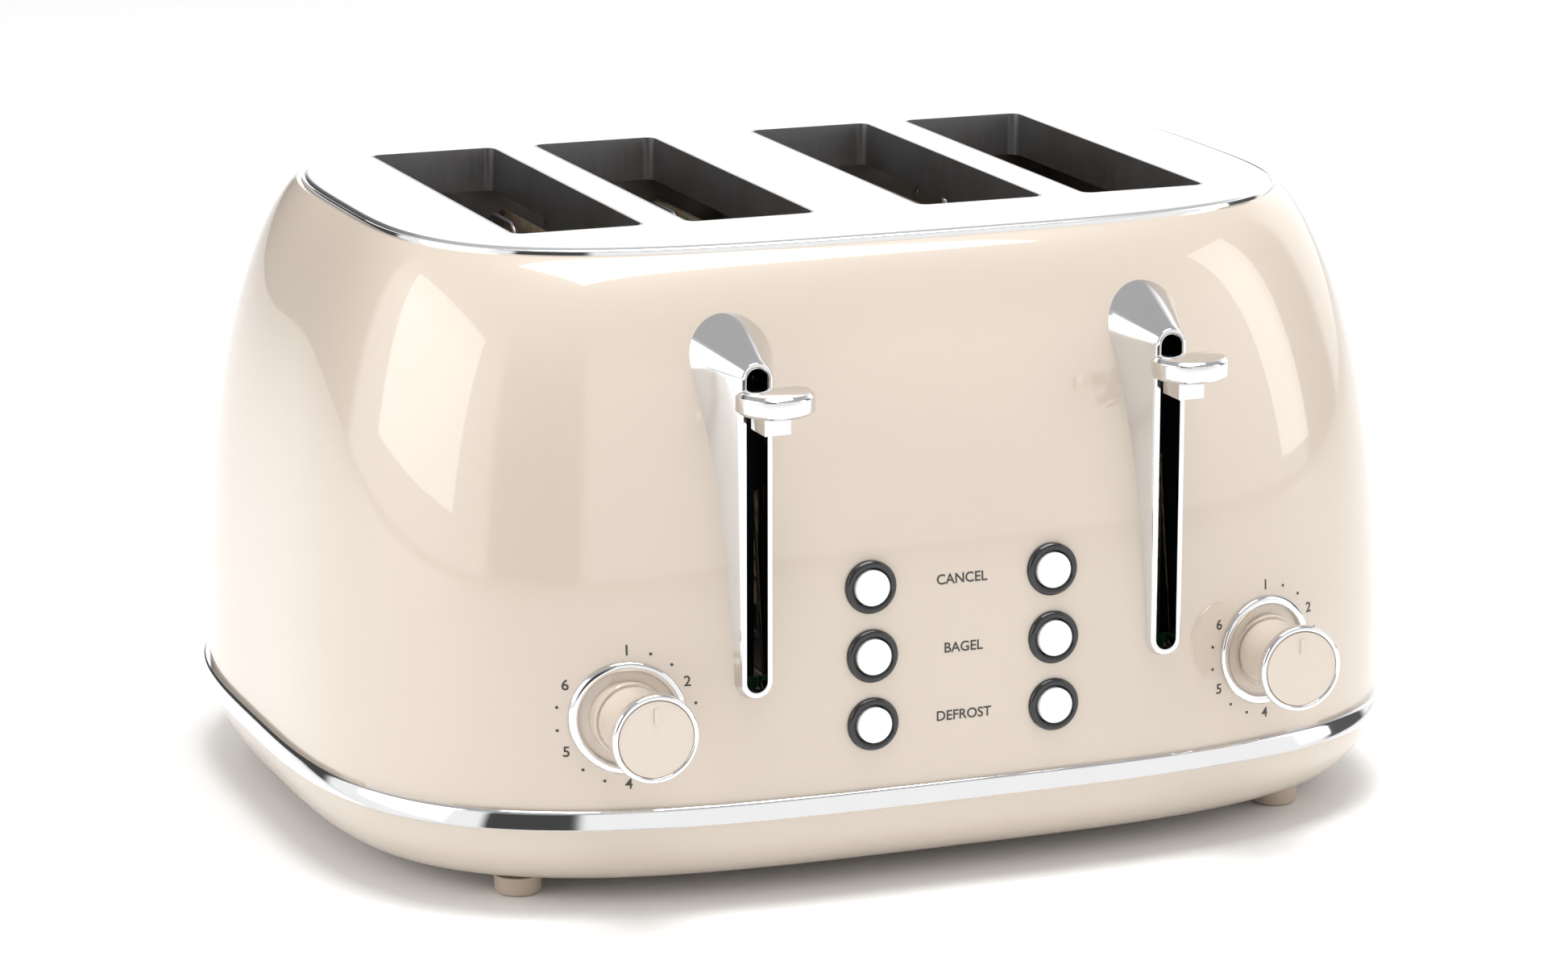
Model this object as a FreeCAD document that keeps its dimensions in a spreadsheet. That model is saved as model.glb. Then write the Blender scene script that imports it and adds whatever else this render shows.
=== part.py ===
"""Four-slot pop-up toaster with two lift levers, six push buttons and two browning knobs.

The document holds one Sizes sheet and one object for each piece. Millimetres, +Z up, +X to the
user's right, -Y towards the user. The origin is under the middle of the whole, levers and all,
on the plane that the feet stand on. Each piece is drawn from the body's own middle plane and then
moved back by STEP_BACK. "left" and "right" are the user's.
"""

import FreeCAD, Part
import math
import os
import re

import Sketcher

from FreeCAD import Placement, Rotation, Vector

# ---------------------------------------------------------------------------------------------
# Driving sizes: alias, value, what it is
# ---------------------------------------------------------------------------------------------
SIZES = [
    ("outline_power", 3.45, "exponent of the rounded outline of the body, seen from above"),
    ("body_half_width", 164.7, "body, half width at the band"),
    ("body_half_depth", 134.7, "body, half depth at the band"),
    ("crown_half_width", 136.8, "body, half width where it meets the rim ring"),
    ("crown_half_depth", 100.2, "body, half depth where it meets the rim ring"),
    ("crown_height", 178.2, "height where the crown sizes hold"),
    ("shell_top", 177.3, "top edge of the shell"),
    ("swell_power", 2.48, "how full the body's profile is near the band"),
    ("side_shoulder", 1.376, "roundness of the shoulder at the ends"),
    ("front_shoulder", 1.526, "roundness of the shoulder at front and back"),
    ("shell_wall", 1.6, "thickness of the shell"),
    ("plate_top", 179.0, "top of the plate, the overall height without bread"),
    ("plate_half_width", 136.2, "top plate, half width"),
    ("plate_half_depth", 99.6, "top plate, half depth"),
    ("plate_thick", 2.1, "top plate, thickness"),
    ("plate_bevel", 2.4, "width of the bevel round the top plate"),
    ("plate_bevel_drop", 1.0, "height of the same bevel"),
    ("rim_lip", 0.7, "wall of the rim ring's upright lip"),
    ("rim_lip_rise", 1.5, "how far the lip stands above its flange"),
    ("rim_flange", 1.0, "thickness of the rim ring's flange"),
    ("rim_flange_reach", 3.4, "how far the flange reaches under the plate"),
    ("seat_gap", 0.05, "gap round pieces that drop into a seat"),
    ("band_bottom", 26.0, "underside of the chrome band"),
    ("band_height", 5.1, "height of the chrome band"),
    ("band_proud", 2.8, "how far the band stands out of the body"),
    ("band_inside", 2.6, "how far the band reaches in under the shell"),
    ("base_floor", 5.5, "underside of the base tray"),
    ("base_wall", 2.2, "wall of the base tray"),
    ("base_tuck", 14.7, "how far the base draws in to its flat floor at the ends"),
    ("base_tuck_front", 18.7, "how far the base draws in at front and back"),
    ("foot_radius", 6.8, "foot"),
    ("foot_x", 116.8, "foot centre, sideways"),
    ("foot_y", 94.2, "foot centre, front to back"),
    ("foot_peg", 2.6, "peg that holds the foot in the base"),
    ("slot_width", 38.0, "bread slot, width"),
    ("slot_length", 134.3, "bread slot, length"),
    ("slot_corner", 3.0, "bread slot, corner radius"),
    ("slot_near", 35.1, "inner slots, distance from the middle"),
    ("slot_far", 86.35, "outer slots, distance from the middle"),
    ("slot_shift", 3.8, "how far the slots sit behind the body's middle"),
    ("well_wall", 0.8, "steel of the slot wells"),
    ("well_depth", 13.0, "depth of a slot well below the plate's top"),
    ("well_flange", 1.1, "thickness of the wells' flange"),
    ("chassis_steel", 1.2, "steel of the chassis plates"),
    ("chassis_half_width", 119.0, "chassis plates, half width"),
    ("chassis_front", 71.0, "front chassis plate, distance in front of the middle"),
    ("chassis_back", 80.0, "back chassis plate, distance behind the middle"),
    ("chassis_top", 170.0, "top of the chassis plates"),
    ("chassis_foot", 12.0, "width of the chassis plates' bottom flange"),
    ("boss_x", 113.0, "screw bosses, distance from the middle"),
    ("boss_radius", 4.2, "screw boss"),
    ("screw_radius", 1.6, "screw shank"),
    ("screw_head", 3.0, "screw head radius"),
    ("screw_head_rise", 1.6, "screw head height"),
    ("card_thick", 1.0, "heater card"),
    ("card_gap", 4.4, "from the side of a slot to its heater card"),
    ("card_bottom", 50.0, "lower edge of the heater cards"),
    ("card_top", 158.0, "upper edge of the heater cards"),
    ("guard_axle_height", 46.0, "height of the bread guards' axles"),
    ("guard_axle", 1.0, "radius of a guard's axle wire"),
    ("guard_wire", 0.8, "radius of a guard's hoop wire"),
    ("guard_rise", 114.0, "height of the hoops above the axle"),
    ("guard_inset", 2.2, "from the side of a slot to its guard, at rest"),
    ("guard_clear", 0.08, "running clearance of the guard axles"),
    ("hoop_width", 24.0, "width of one hoop"),
    ("hoop_pitch", 34.0, "spacing of the hoops"),
    ("hoop_bend", 5.0, "bend radius of a hoop"),
    ("lever_x", 60.8, "levers, distance from the middle"),
    ("lever_travel", 70.0, "lever travel"),
    ("ring_proud", 0.5, "how far the bezels' front stands before the body's widest depth"),
    ("ring_top", 150.0, "centre of the bezel's upper arc"),
    ("ring_bottom", 66.0, "centre of the bezel's lower arc"),
    ("ring_radius", 4.45, "bezel's front ring, outer radius"),
    ("ring_hole", 3.0, "bezel's slot, half width"),
    ("bezel_draft", 0.408, "how much the bezel widens for each mm of depth"),
    ("bezel_depth", 46.0, "depth of the bezel block before it is fitted to the body"),
    ("bezel_wall", 1.4, "wall of the hollow bezel"),
    ("arm_thick", 3.0, "lever arm, thickness"),
    ("arm_height", 5.4, "lever arm, height"),
    ("arm_centre", 139.4, "lever arm, height above the floor at rest"),
    ("arm_out", 12.8, "from the bezels' front to the front end of the lever arm"),
    ("pad_radius", 10.6, "finger pad, radius of its front"),
    ("pad_thick", 6.0, "finger pad, thickness"),
    ("pad_out", 23.2, "from the bezels' front to the front of the finger pad"),
    ("pad_depth", 15.2, "finger pad, front to back"),
    ("pad_bottom", 142.7, "underside of the finger pad"),
    ("pad_edge", 1.0, "chamfer of the finger pad"),
    ("rod_x", 67.0, "guide rods, distance from the middle"),
    ("rod_y", 84.0, "guide rods, distance in front of the middle"),
    ("rod_radius", 2.5, "guide rod"),
    ("rod_clear", 0.06, "running clearance of the slider on its rod"),
    ("slider_height", 18.0, "height of the slider block"),
    ("slider_front", 92.0, "front of the slider block"),
    ("rail_top", 112.0, "bread rail, top edge at rest"),
    ("rail_height", 9.0, "bread rail, height"),
    ("rail_thick", 1.5, "bread rail, steel"),
    ("tab_reach", 8.5, "bread rail's side tabs, half width"),
    ("tab_count", 6, "side tabs on a rail"),
    ("rail_slot", 3.0, "half width of the chassis slots for the rails"),
    ("spring_radius", 3.2, "lift spring, outer radius"),
    ("spring_wire", 0.9, "lift spring, wire"),
    ("knob_x", 96.0, "browning knobs, distance from the middle"),
    ("knob_z", 56.8, "browning knobs, height"),
    ("knob_length", 20.6, "browning knob, from its boss to its front"),
    ("knob_neck", 9.4, "knob, radius where it meets its boss"),
    ("knob_head", 11.6, "knob, radius behind the front ring"),
    ("knob_ring_radius", 12.3, "knob's front ring, outer radius"),
    ("knob_ring_depth", 3.0, "knob's front ring, depth"),
    ("knob_face", 10.7, "knob's face, radius"),
    ("knob_stem", 3.0, "knob's stem, radius"),
    ("stem_clear", 0.06, "running clearance of the stem"),
    ("boss_back", 4.8, "how far the knobs' bosses sit behind the body's widest depth"),
    ("dial_boss", 10.4, "radius of the same bosses"),
    ("dial_ring_outer", 15.7, "trim ring round a knob, outer radius"),
    ("dial_ring_inner", 13.1, "trim ring round a knob, inner radius"),
    ("dial_ring_proud", 1.5, "how far the trim ring stands out of the shell"),
    ("button_x", 27.1, "push buttons, distance from the middle"),
    ("button_low", 49.6, "lowest row of buttons, height"),
    ("button_pitch", 19.15, "spacing of the button rows"),
    ("button_radius", 5.05, "push button"),
    ("button_clear", 0.3, "gap between a button and its collar"),
    ("button_travel", 1.6, "how far a button goes in"),
    ("button_proud", 2.0, "how far a button stands out of the shell"),
    ("collar_radius", 7.5, "collar round a button, outer radius"),
    ("collar_proud", 1.3, "how far a collar stands out of the shell"),
    ("carrier_back", 6.7, "how far the collars' carrier sits behind the widest depth"),
    ("carrier_thick", 2.0, "thickness of the carrier"),
    ("board_thick", 1.6, "circuit boards"),
    ("board_back", 7.0, "from the carrier's front to the front of the board"),
    ("pot_radius", 8.0, "potentiometer housing"),
    ("pot_depth", 8.0, "potentiometer housing"),
    ("tray_x_in", 12.0, "crumb trays, inner side"),
    ("tray_x_out", 104.0, "crumb trays, outer side"),
    ("tray_front", 66.0, "front end of the crumb trays"),
    ("tray_bottom", 12.0, "underside of the crumb trays"),
    ("tray_rim", 6.0, "height of the crumb trays' rim"),
    ("tray_steel", 1.0, "steel of the crumb trays"),
    ("tray_gap", 0.6, "gap round a crumb tray in the base"),
    ("tray_grip", 2.4, "how far a crumb tray's grip stands out of the base"),
    ("gland_radius", 5.0, "mains gland, outer radius inside the wall"),
    ("gland_bore", 3.2, "mains gland, bore radius"),
    ("gland_height", 40.0, "mains gland, height"),
]
# Places worked out from the driving sizes: alias, formula, what it is
PLACES = [
    ("ring_front", "body_half_depth + ring_proud", "front of the lever bezels"),
    ("arm_tip", "ring_front + arm_out", "front end of the lever arm"),
    ("pad_front", "ring_front + pad_out", "front of the finger pad"),
    ("pad_back", "pad_front - pad_depth", "back of the finger pad"),
    ("boss_face", "body_half_depth - boss_back", "front of the bosses that the knobs turn on"),
    ("knob_front", "boss_face + knob_length", "front of the browning knobs"),
    ("carrier_front", "body_half_depth - carrier_back", "front face of the collars' carrier"),
    ("board_front", "carrier_front - board_back", "front face of the circuit board"),
]
ALIASES = {alias for alias, _, _ in SIZES + PLACES}

doc = FreeCAD.newDocument("PopUpToaster")
sheet = doc.addObject("Spreadsheet::Sheet", "Sizes")
for row, (alias, value, note) in enumerate(SIZES + PLACES, start=1):
    sheet.set(f"A{row}", note)
    sheet.set(f"B{row}", f"={value}")
    sheet.setAlias(f"B{row}", alias)
doc.recompute()

PIECES = []  # every object that is one real piece, in the order made
OWN_Y = {}  # y expression of each placed object, before the step back
STEP_BACK = "(pad_front - body_half_depth - band_proud) / 2"  # centres pad front to band back
SIDES = {"left": "-1", "right": "1"}
SLOTS = {1: "-slot_far", 2: "-slot_near", 3: "slot_near", 4: "slot_far"}


# ---------------------------------------------------------------------------------------------
# Small helpers: every length is an expression on the Sizes sheet
# ---------------------------------------------------------------------------------------------
def expand(expression):
    """Puts the sheet's name before each alias in an expression."""
    text = str(expression)
    return re.sub(r"[a-z][a-z_]+", lambda m: "Sizes." + m[0] if m[0] in ALIASES else m[0], text)


def num(expression):
    """The value of an expression on the sheet."""
    value = sheet.evalExpression(expand(expression))
    return float(getattr(value, "Value", value))


def bind(obj, prop, expression):
    obj.setExpression(prop, expand(expression))


def place(obj, x="0", y="0", z="0", rotation=None):
    """Puts an object at (x, y, z), bound to the sheet, after an optional turn."""
    obj.Placement = Placement(Vector(num(x), num(y), num(z)), rotation or Rotation())
    for axis, expression in (("x", x), ("y", y), ("z", z)):
        bind(obj, f"Placement.Base.{axis}", expression)
    OWN_Y[obj.Name] = y
    return obj


def label(obj, name):
    """Marks an object as a finished piece, names it, and moves it back by the same step as all."""
    obj.Label = name
    own = OWN_Y.get(obj.Name, "0")
    obj.Placement.Base.y = num(f"{own} + {STEP_BACK}")
    bind(obj, "Placement.Base.y", f"{own} + {STEP_BACK}")
    PIECES.append(obj)
    return obj


def box(name, x, y, z):
    """A box between pairs of expressions along each axis."""
    solid = doc.addObject("Part::Box", name)
    for prop, (low, high) in (("Length", x), ("Width", y), ("Height", z)):
        bind(solid, prop, f"({high}) - ({low})")
    return place(solid, x[0], y[0], z[0])


TURNS = {
    "x": Rotation(Vector(0, 1, 0), 90),
    "y": Rotation(Vector(1, 0, 0), -90),
    "z": Rotation(),
}


def rod(name, radius, axis, start, length):
    """A cylinder from a start point (three expressions) along +axis."""
    solid = doc.addObject("Part::Cylinder", name)
    bind(solid, "Radius", radius)
    bind(solid, "Height", length)
    return place(solid, *start, rotation=TURNS[axis])


def fuse(name, *parts):
    union = doc.addObject("Part::MultiFuse", name)
    union.Shapes = list(parts)
    return union


def cut(name, base, *tools):
    result = doc.addObject("Part::Cut", name)
    result.Base = base
    result.Tool = tools[0] if len(tools) == 1 else fuse(name + "_tools", *tools)
    return result


def common(name, one, other):
    result = doc.addObject("Part::Common", name)
    result.Base = one
    result.Tool = other
    return result


def new_body(name):
    return doc.addObject("PartDesign::Body", name)


def sketch_on(body, name, role, offset="0"):
    """A sketch on one of the body's own origin planes, lifted by an expression."""
    sketch = body.newObject("Sketcher::SketchObject", name)
    plane = next(o for o in body.Origin.OriginFeatures if o.Role == role)
    sketch.AttachmentSupport = [(plane, "")]
    sketch.MapMode = "FlatFace"
    sketch.AttachmentOffset = Placement(Vector(0, 0, num(offset)), Rotation())
    bind(sketch, "AttachmentOffset.Base.z", offset)
    return sketch


def constrain(sketch, expression, *args):
    """Adds a constraint, bound to an expression where it has one."""
    index = sketch.addConstraint(Sketcher.Constraint(*args))
    if expression is not None:
        sketch.setExpression(f"Constraints[{index}]", expand(expression))


def pin(sketch, geo, end, x, y):
    """Fixes one end of an edge at (x, y)."""
    for kind, expression, axis in (("DistanceX", x, -2), ("DistanceY", y, -1)):
        value = num(expression)
        if abs(value) < 1e-9:
            constrain(sketch, None, "PointOnObject", geo, end, axis)
        else:
            constrain(sketch, expression, kind, -1, 1, geo, end, value)


def loop(sketch, corners):
    """A closed outline. A corner is (x, y) or (x, y, radius, side): the edge that leaves it is
    then an arc of that radius, with its centre to the left (side 1) or right (side -1)."""
    spots = [Vector(num(c[0]), num(c[1]), 0) for c in corners]
    ends = []
    for i, corner in enumerate(corners):
        a, b = spots[i], spots[(i + 1) % len(spots)]
        if len(corner) == 2:
            geo = sketch.addGeometry(Part.LineSegment(a, b), False)
            ends.append((geo, 1, 2))
            continue
        radius, side = num(corner[2]), corner[3]
        chord = b - a
        normal = Vector(-chord.y, chord.x, 0).normalize() * side
        drop = math.sqrt(max(radius**2 - chord.Length**2 / 4, 0.0))
        centre = (a + b) * 0.5 + normal * drop
        first, last = (a, b) if side > 0 else (b, a)
        start = math.atan2(first.y - centre.y, first.x - centre.x)
        stop = math.atan2(last.y - centre.y, last.x - centre.x)
        if stop <= start:
            stop += 2 * math.pi
        circle = Part.Circle(centre, Vector(0, 0, 1), radius)
        geo = sketch.addGeometry(Part.ArcOfCircle(circle, start, stop), False)
        ends.append((geo, 1, 2) if side > 0 else (geo, 2, 1))
        if drop > 0.001:
            constrain(sketch, corner[2], "Radius", geo, radius)
        else:
            level = "Horizontal" if abs(chord.x) > abs(chord.y) else "Vertical"
            constrain(sketch, None, level, geo, 3, geo, 1)
    for i, (geo, start, _) in enumerate(ends):
        before = ends[i - 1]
        constrain(sketch, None, "Coincident", before[0], before[2], geo, start)
        pin(sketch, geo, start, corners[i][0], corners[i][1])


def circle(sketch, radius, x="0", y="0"):
    centre = Vector(num(x), num(y), 0)
    geo = sketch.addGeometry(Part.Circle(centre, Vector(0, 0, 1), num(radius)), False)
    constrain(sketch, radius, "Radius", geo, num(radius))
    pin(sketch, geo, 3, x, y)


def stadium(sketch, radius, low, high, x="0"):
    """Two half circles joined by upright sides."""
    loop(
        sketch,
        [
            (f"{x} - ({radius})", low, radius, 1),
            (f"{x} + {radius}", low),
            (f"{x} + {radius}", high, radius, 1),
            (f"{x} - ({radius})", high),
        ],
    )


def rounded_box(sketch, x, y, corner):
    """A rectangle with round corners between pairs of expressions."""
    (w, e), (s, n), c = x, y, corner
    loop(
        sketch,
        [
            (f"{w} + {c}", s),
            (f"{e} - {c}", s, c, 1),
            (e, f"{s} + {c}"),
            (e, f"{n} - {c}", c, 1),
            (f"{e} - {c}", n),
            (f"{w} + {c}", n, c, 1),
            (w, f"{n} - {c}"),
            (w, f"{s} + {c}", c, 1),
        ],
    )


OUTLINE_POINTS = 44


def outline(sketch, half_width, half_depth):
    """The rounded outline |x/a|^n + |y/b|^n = 1 as one closed curve."""
    a, b, n = num(half_width), num(half_depth), num("outline_power")
    spots = []
    for i in range(OUTLINE_POINTS):
        turn = 2 * math.pi * (i + 0.5) / OUTLINE_POINTS
        c, s = math.cos(turn), math.sin(turn)
        reach = (abs(c / a) ** n + abs(s / b) ** n) ** (-1 / n)
        spots.append(Vector(reach * c, reach * s, 0))
    curve = Part.BSplineCurve()
    curve.interpolate(Points=spots, PeriodicFlag=True)
    sketch.addGeometry(curve, False)


def pad(body, sketch, length, midplane=False, reverse=False):
    feature = body.newObject("PartDesign::Pad", sketch.Name + "_pad")
    feature.Profile = sketch
    feature.Midplane = midplane
    feature.Reversed = reverse
    bind(feature, "Length", length)
    return feature


def pocket(body, sketch, length, midplane=False, reverse=False):
    feature = body.newObject("PartDesign::Pocket", sketch.Name + "_pocket")
    feature.Profile = sketch
    feature.Midplane = midplane
    feature.Reversed = reverse
    bind(feature, "Length", length)
    return feature


def loft(name, sections, ruled=False):
    """A body lofted through rounded outlines: (height, half width, half depth)."""
    body = new_body(name)
    sketches = []
    for i, (z, half_width, half_depth) in enumerate(sections):
        sketch = sketch_on(body, f"{name}_level_{i}", "XY_Plane", z)
        outline(sketch, half_width, half_depth)
        sketches.append(sketch)
    feature = body.newObject("PartDesign::AdditiveLoft", name + "_loft")
    feature.Profile = sketches[0]
    feature.Sections = sketches[1:]
    feature.Ruled = ruled
    return body


def slab(name, half_width, half_depth, bottom, thick):
    """A flat slab with the rounded outline."""
    body = new_body(name)
    sketch = sketch_on(body, name + "_outline", "XY_Plane", bottom)
    outline(sketch, half_width, half_depth)
    pad(body, sketch, thick)
    return body


def turned(name, corners, x, y, z, toward="z"):
    """A body of revolution. Corners are (radius, distance along the axis)."""
    body = new_body(name)
    sketch = sketch_on(body, name + "_profile", "XZ_Plane")
    loop(sketch, corners)
    feature = body.newObject("PartDesign::Revolution", name + "_turn")
    feature.Profile = sketch
    feature.ReferenceAxis = (sketch, ["V_Axis"])
    feature.Angle = 360
    turn = {
        "z": Rotation(),
        "front": Rotation(Vector(1, 0, 0), 90),
        "back": Rotation(Vector(1, 0, 0), -90),
    }[toward]
    return place(body, x, y, z, turn)


def combs(name, pattern_feature, body, axis_role, length, count):
    """Repeats a feature along one of the body's axes."""
    pattern = body.newObject("PartDesign::LinearPattern", name)
    pattern.Originals = [pattern_feature]
    axis = next(o for o in body.Origin.OriginFeatures if o.Role == axis_role)
    pattern.Direction = (axis, [""])
    bind(pattern, "Length", length)
    bind(pattern, "Occurrences", count)
    body.Tip = pattern
    return pattern


# ---------------------------------------------------------------------------------------------
# The body's outer form, which the shell, bezels, rings and bosses are all fitted to
# ---------------------------------------------------------------------------------------------
LEVELS = [round(1 - (1 - i / 13) ** 1.6, 4) for i in range(14)]  # closer together near the crown
BODY_BOTTOM = "(band_bottom + band_height)"
SPAN = f"(crown_height - {BODY_BOTTOM})"


def half_sizes(share, inset="0"):
    """Half width and depth of the body at a share of its height, as expressions."""
    swell = f"(1 - {share} ^ swell_power)"
    sizes = []
    for low, high, power in (
        ("crown_half_width", "body_half_width", "side_shoulder"),
        ("crown_half_depth", "body_half_depth", "front_shoulder"),
    ):
        sizes.append(f"{low} + ({high} - {low}) * {swell} ^ (1 / {power}) - ({inset})")
    return sizes


def front_at(z):
    """Distance from the middle plane to the body's front, on the centre line, at height z."""
    share = f"(({z} - ({BODY_BOTTOM})) / {SPAN})"
    return half_sizes(share)[1]


def body_form(name, inset="0", lowest=BODY_BOTTOM):
    """The body's outer form, moved in by an inset, from its bottom to the crown."""
    sections = []
    for share in LEVELS:
        z = lowest if share == 0.0 else f"{BODY_BOTTOM} + {SPAN} * {share}"
        sections.append((z, *half_sizes(share, inset)))
    return loft(name, sections)


outer_form = body_form("outer_form")
cavity_form = body_form("cavity_form", "shell_wall", f"{BODY_BOTTOM} - 1")

# ---------------------------------------------------------------------------------------------
# Enclosure: shell, rim ring, top plate, band, base, feet
# ---------------------------------------------------------------------------------------------
RIM_FLOOR = "(plate_top - plate_thick - rim_flange)"
RIM_WIDTH = "plate_half_width + seat_gap + rim_lip"
RIM_DEPTH = "plate_half_depth + seat_gap + rim_lip"
BUTTON_ROWS = {
    "low": "button_low", "middle": "button_low + button_pitch", "top": "button_low + 2 * button_pitch",
}


def make_shell():
    """The painted shell: wall, rim seat, knob bosses, and its openings."""
    mouth = slab("shell_mouth", f"{RIM_WIDTH} - 1", f"{RIM_DEPTH} - 1", f"{RIM_FLOOR} - 3", "3.5")
    seat = slab("rim_seat", f"{RIM_WIDTH} + seat_gap", f"{RIM_DEPTH} + seat_gap", RIM_FLOOR, "6")
    wide = ("-2 * body_half_width", "2 * body_half_width")
    room_top = box("cavity_limit", wide, wide, ("0", f"{RIM_FLOOR} - 2"))
    room = common("shell_room", cavity_form, room_top)
    lid = box("shell_trim", wide, wide, ("shell_top", "shell_top + 20"))
    walls = cut("shell_walls", outer_form, room, mouth, seat, lid)
    bosses, holes = [], []
    for side, sign in SIDES.items():
        x = f"{sign} * knob_x"
        bosses.append(rod(f"dial_boss_{side}", "dial_boss", "y", (x, "-boss_face", "knob_z"), "6"))
        holes.append(
            rod(f"stem_hole_{side}", "knob_stem + 0.6", "y", (x, "-knob_front", "knob_z"), "60"),
        )
        slot = new_body(f"lever_slot_{side}")
        cutter = sketch_on(slot, f"lever_slot_{side}_outline", "XZ_Plane", "70")
        stadium(cutter, "(ring_hole + 0.9)", "ring_bottom", "ring_top", f"{sign} * lever_x")
        pad(slot, cutter, "80")
        holes.append(slot)
        for row, z in BUTTON_ROWS.items():
            start = (f"{sign} * button_x", "-body_half_depth - 5", z)
            holes.append(rod(f"collar_hole_{row}_{side}", "collar_radius + seat_gap", "y", start, "30"))
    gland_start = ("0", "body_half_depth - 15", "gland_height")
    holes.append(rod("gland_hole", "gland_radius + seat_gap", "y", gland_start, "30"))
    solid = fuse("shell_with_bosses", walls, *bosses)
    return label(cut("shell_finished", solid, *holes), "body_shell")


def make_rim_ring():
    """The bright ring between plate and shell: an upright lip on a flange."""
    ring = slab("rim_blank", RIM_WIDTH, RIM_DEPTH, RIM_FLOOR, "rim_flange + rim_lip_rise")
    well = slab(
        "rim_seat_cut", "plate_half_width + seat_gap", "plate_half_depth + seat_gap",
        f"{RIM_FLOOR} + rim_flange", "6",
    )
    hole = slab(
        "rim_hole", f"{RIM_WIDTH} - rim_lip - rim_flange_reach",
        f"{RIM_DEPTH} - rim_lip - rim_flange_reach", f"{RIM_FLOOR} - 1", "6",
    )
    return label(cut("rim_ring_solid", ring, well, hole), "rim_ring")


def slot_sketch(body, name, z, x, spare):
    """One bread slot's outline, wider than the slot by a spare all round."""
    sketch = sketch_on(body, name, "XY_Plane", z)
    rounded_box(
        sketch,
        (f"{x} - slot_width / 2 - ({spare})", f"{x} + slot_width / 2 + {spare}"),
        (f"slot_shift - slot_length / 2 - ({spare})", f"slot_shift + slot_length / 2 + {spare}"),
        f"(slot_corner + {spare})",
    )
    return sketch


def make_top_plate():
    """The bright top plate with its four slot openings and bevelled edge."""
    bottom = "plate_top - plate_thick"
    body = loft(
        "top_plate_body",
        [
            (bottom, "plate_half_width", "plate_half_depth"),
            ("plate_top - plate_bevel_drop", "plate_half_width - 0.2", "plate_half_depth - 0.2"),
            ("plate_top", "plate_half_width - plate_bevel", "plate_half_depth - plate_bevel"),
        ],
        ruled=True,
    )
    for number, x in SLOTS.items():
        sketch = slot_sketch(body, f"plate_slot_{number}", bottom, x, "well_wall + seat_gap")
        pocket(body, sketch, "plate_thick", reverse=True)
    return label(body, "top_plate")


def make_slot_wells(side, numbers):
    """Two slot liners on one flange, under the top plate."""
    body = new_body(f"slot_wells_{side}_body")
    flange_top = "plate_top - plate_thick"
    sign = SIDES[side]
    inner = f"{sign} * (slot_near - slot_width / 2 - 4.5)"
    outer = f"{sign} * (slot_far + slot_width / 2 + 4.5)"
    low, high = (inner, outer) if side == "right" else (outer, inner)
    sketch = sketch_on(body, f"wells_flange_{side}", "XY_Plane", f"{flange_top} - well_flange")
    rounded_box(
        sketch, (low, high),
        ("slot_shift - slot_length / 2 - 4.5", "slot_shift + slot_length / 2 + 4.5"), "slot_corner",
    )
    pad(body, sketch, "well_flange")
    for number in numbers:
        wall = slot_sketch(
            body, f"well_wall_{number}", "plate_top - well_depth", SLOTS[number], "well_wall",
        )
        pad(body, wall, "well_depth")
    for number in numbers:
        hole = slot_sketch(body, f"well_hole_{number}", "plate_top - well_depth", SLOTS[number], "0")
        pocket(body, hole, "well_depth", reverse=True)
    return label(body, f"slot_wells_{side}")


def make_band():
    """The chrome band between shell and base."""
    blank = slab(
        "band_blank", "body_half_width + band_proud", "body_half_depth + band_proud", "band_bottom",
        "band_height",
    )
    hole = slab(
        "band_hole", "body_half_width - band_inside", "body_half_depth - band_inside",
        "band_bottom - 1", "band_height + 2",
    )
    return label(cut("band_solid", blank, hole), "chrome_band")


BASE_LEVELS = ((0.0, 1.0), (0.12, 0.60), (0.36, 0.27), (0.70, 0.07), (1.0, 0.0))


def base_form(name, inset, lift):
    sections = []
    for share, tuck in BASE_LEVELS:
        z = f"base_floor + {lift} + (band_bottom - base_floor - {lift}) * {share}"
        sections.append((
            z,
            f"body_half_width - 0.7 - {inset} - base_tuck * {tuck}",
            f"body_half_depth - 0.7 - {inset} - base_tuck_front * {tuck}",
        ))
    return loft(name, sections)


def tray_span(side, spare="0"):
    """Low and high x of a crumb tray, grown by a spare."""
    if side == "left":
        return (f"-tray_x_out - ({spare})", f"-tray_x_in + {spare}")
    return (f"tray_x_in - ({spare})", f"tray_x_out + {spare}")


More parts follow.
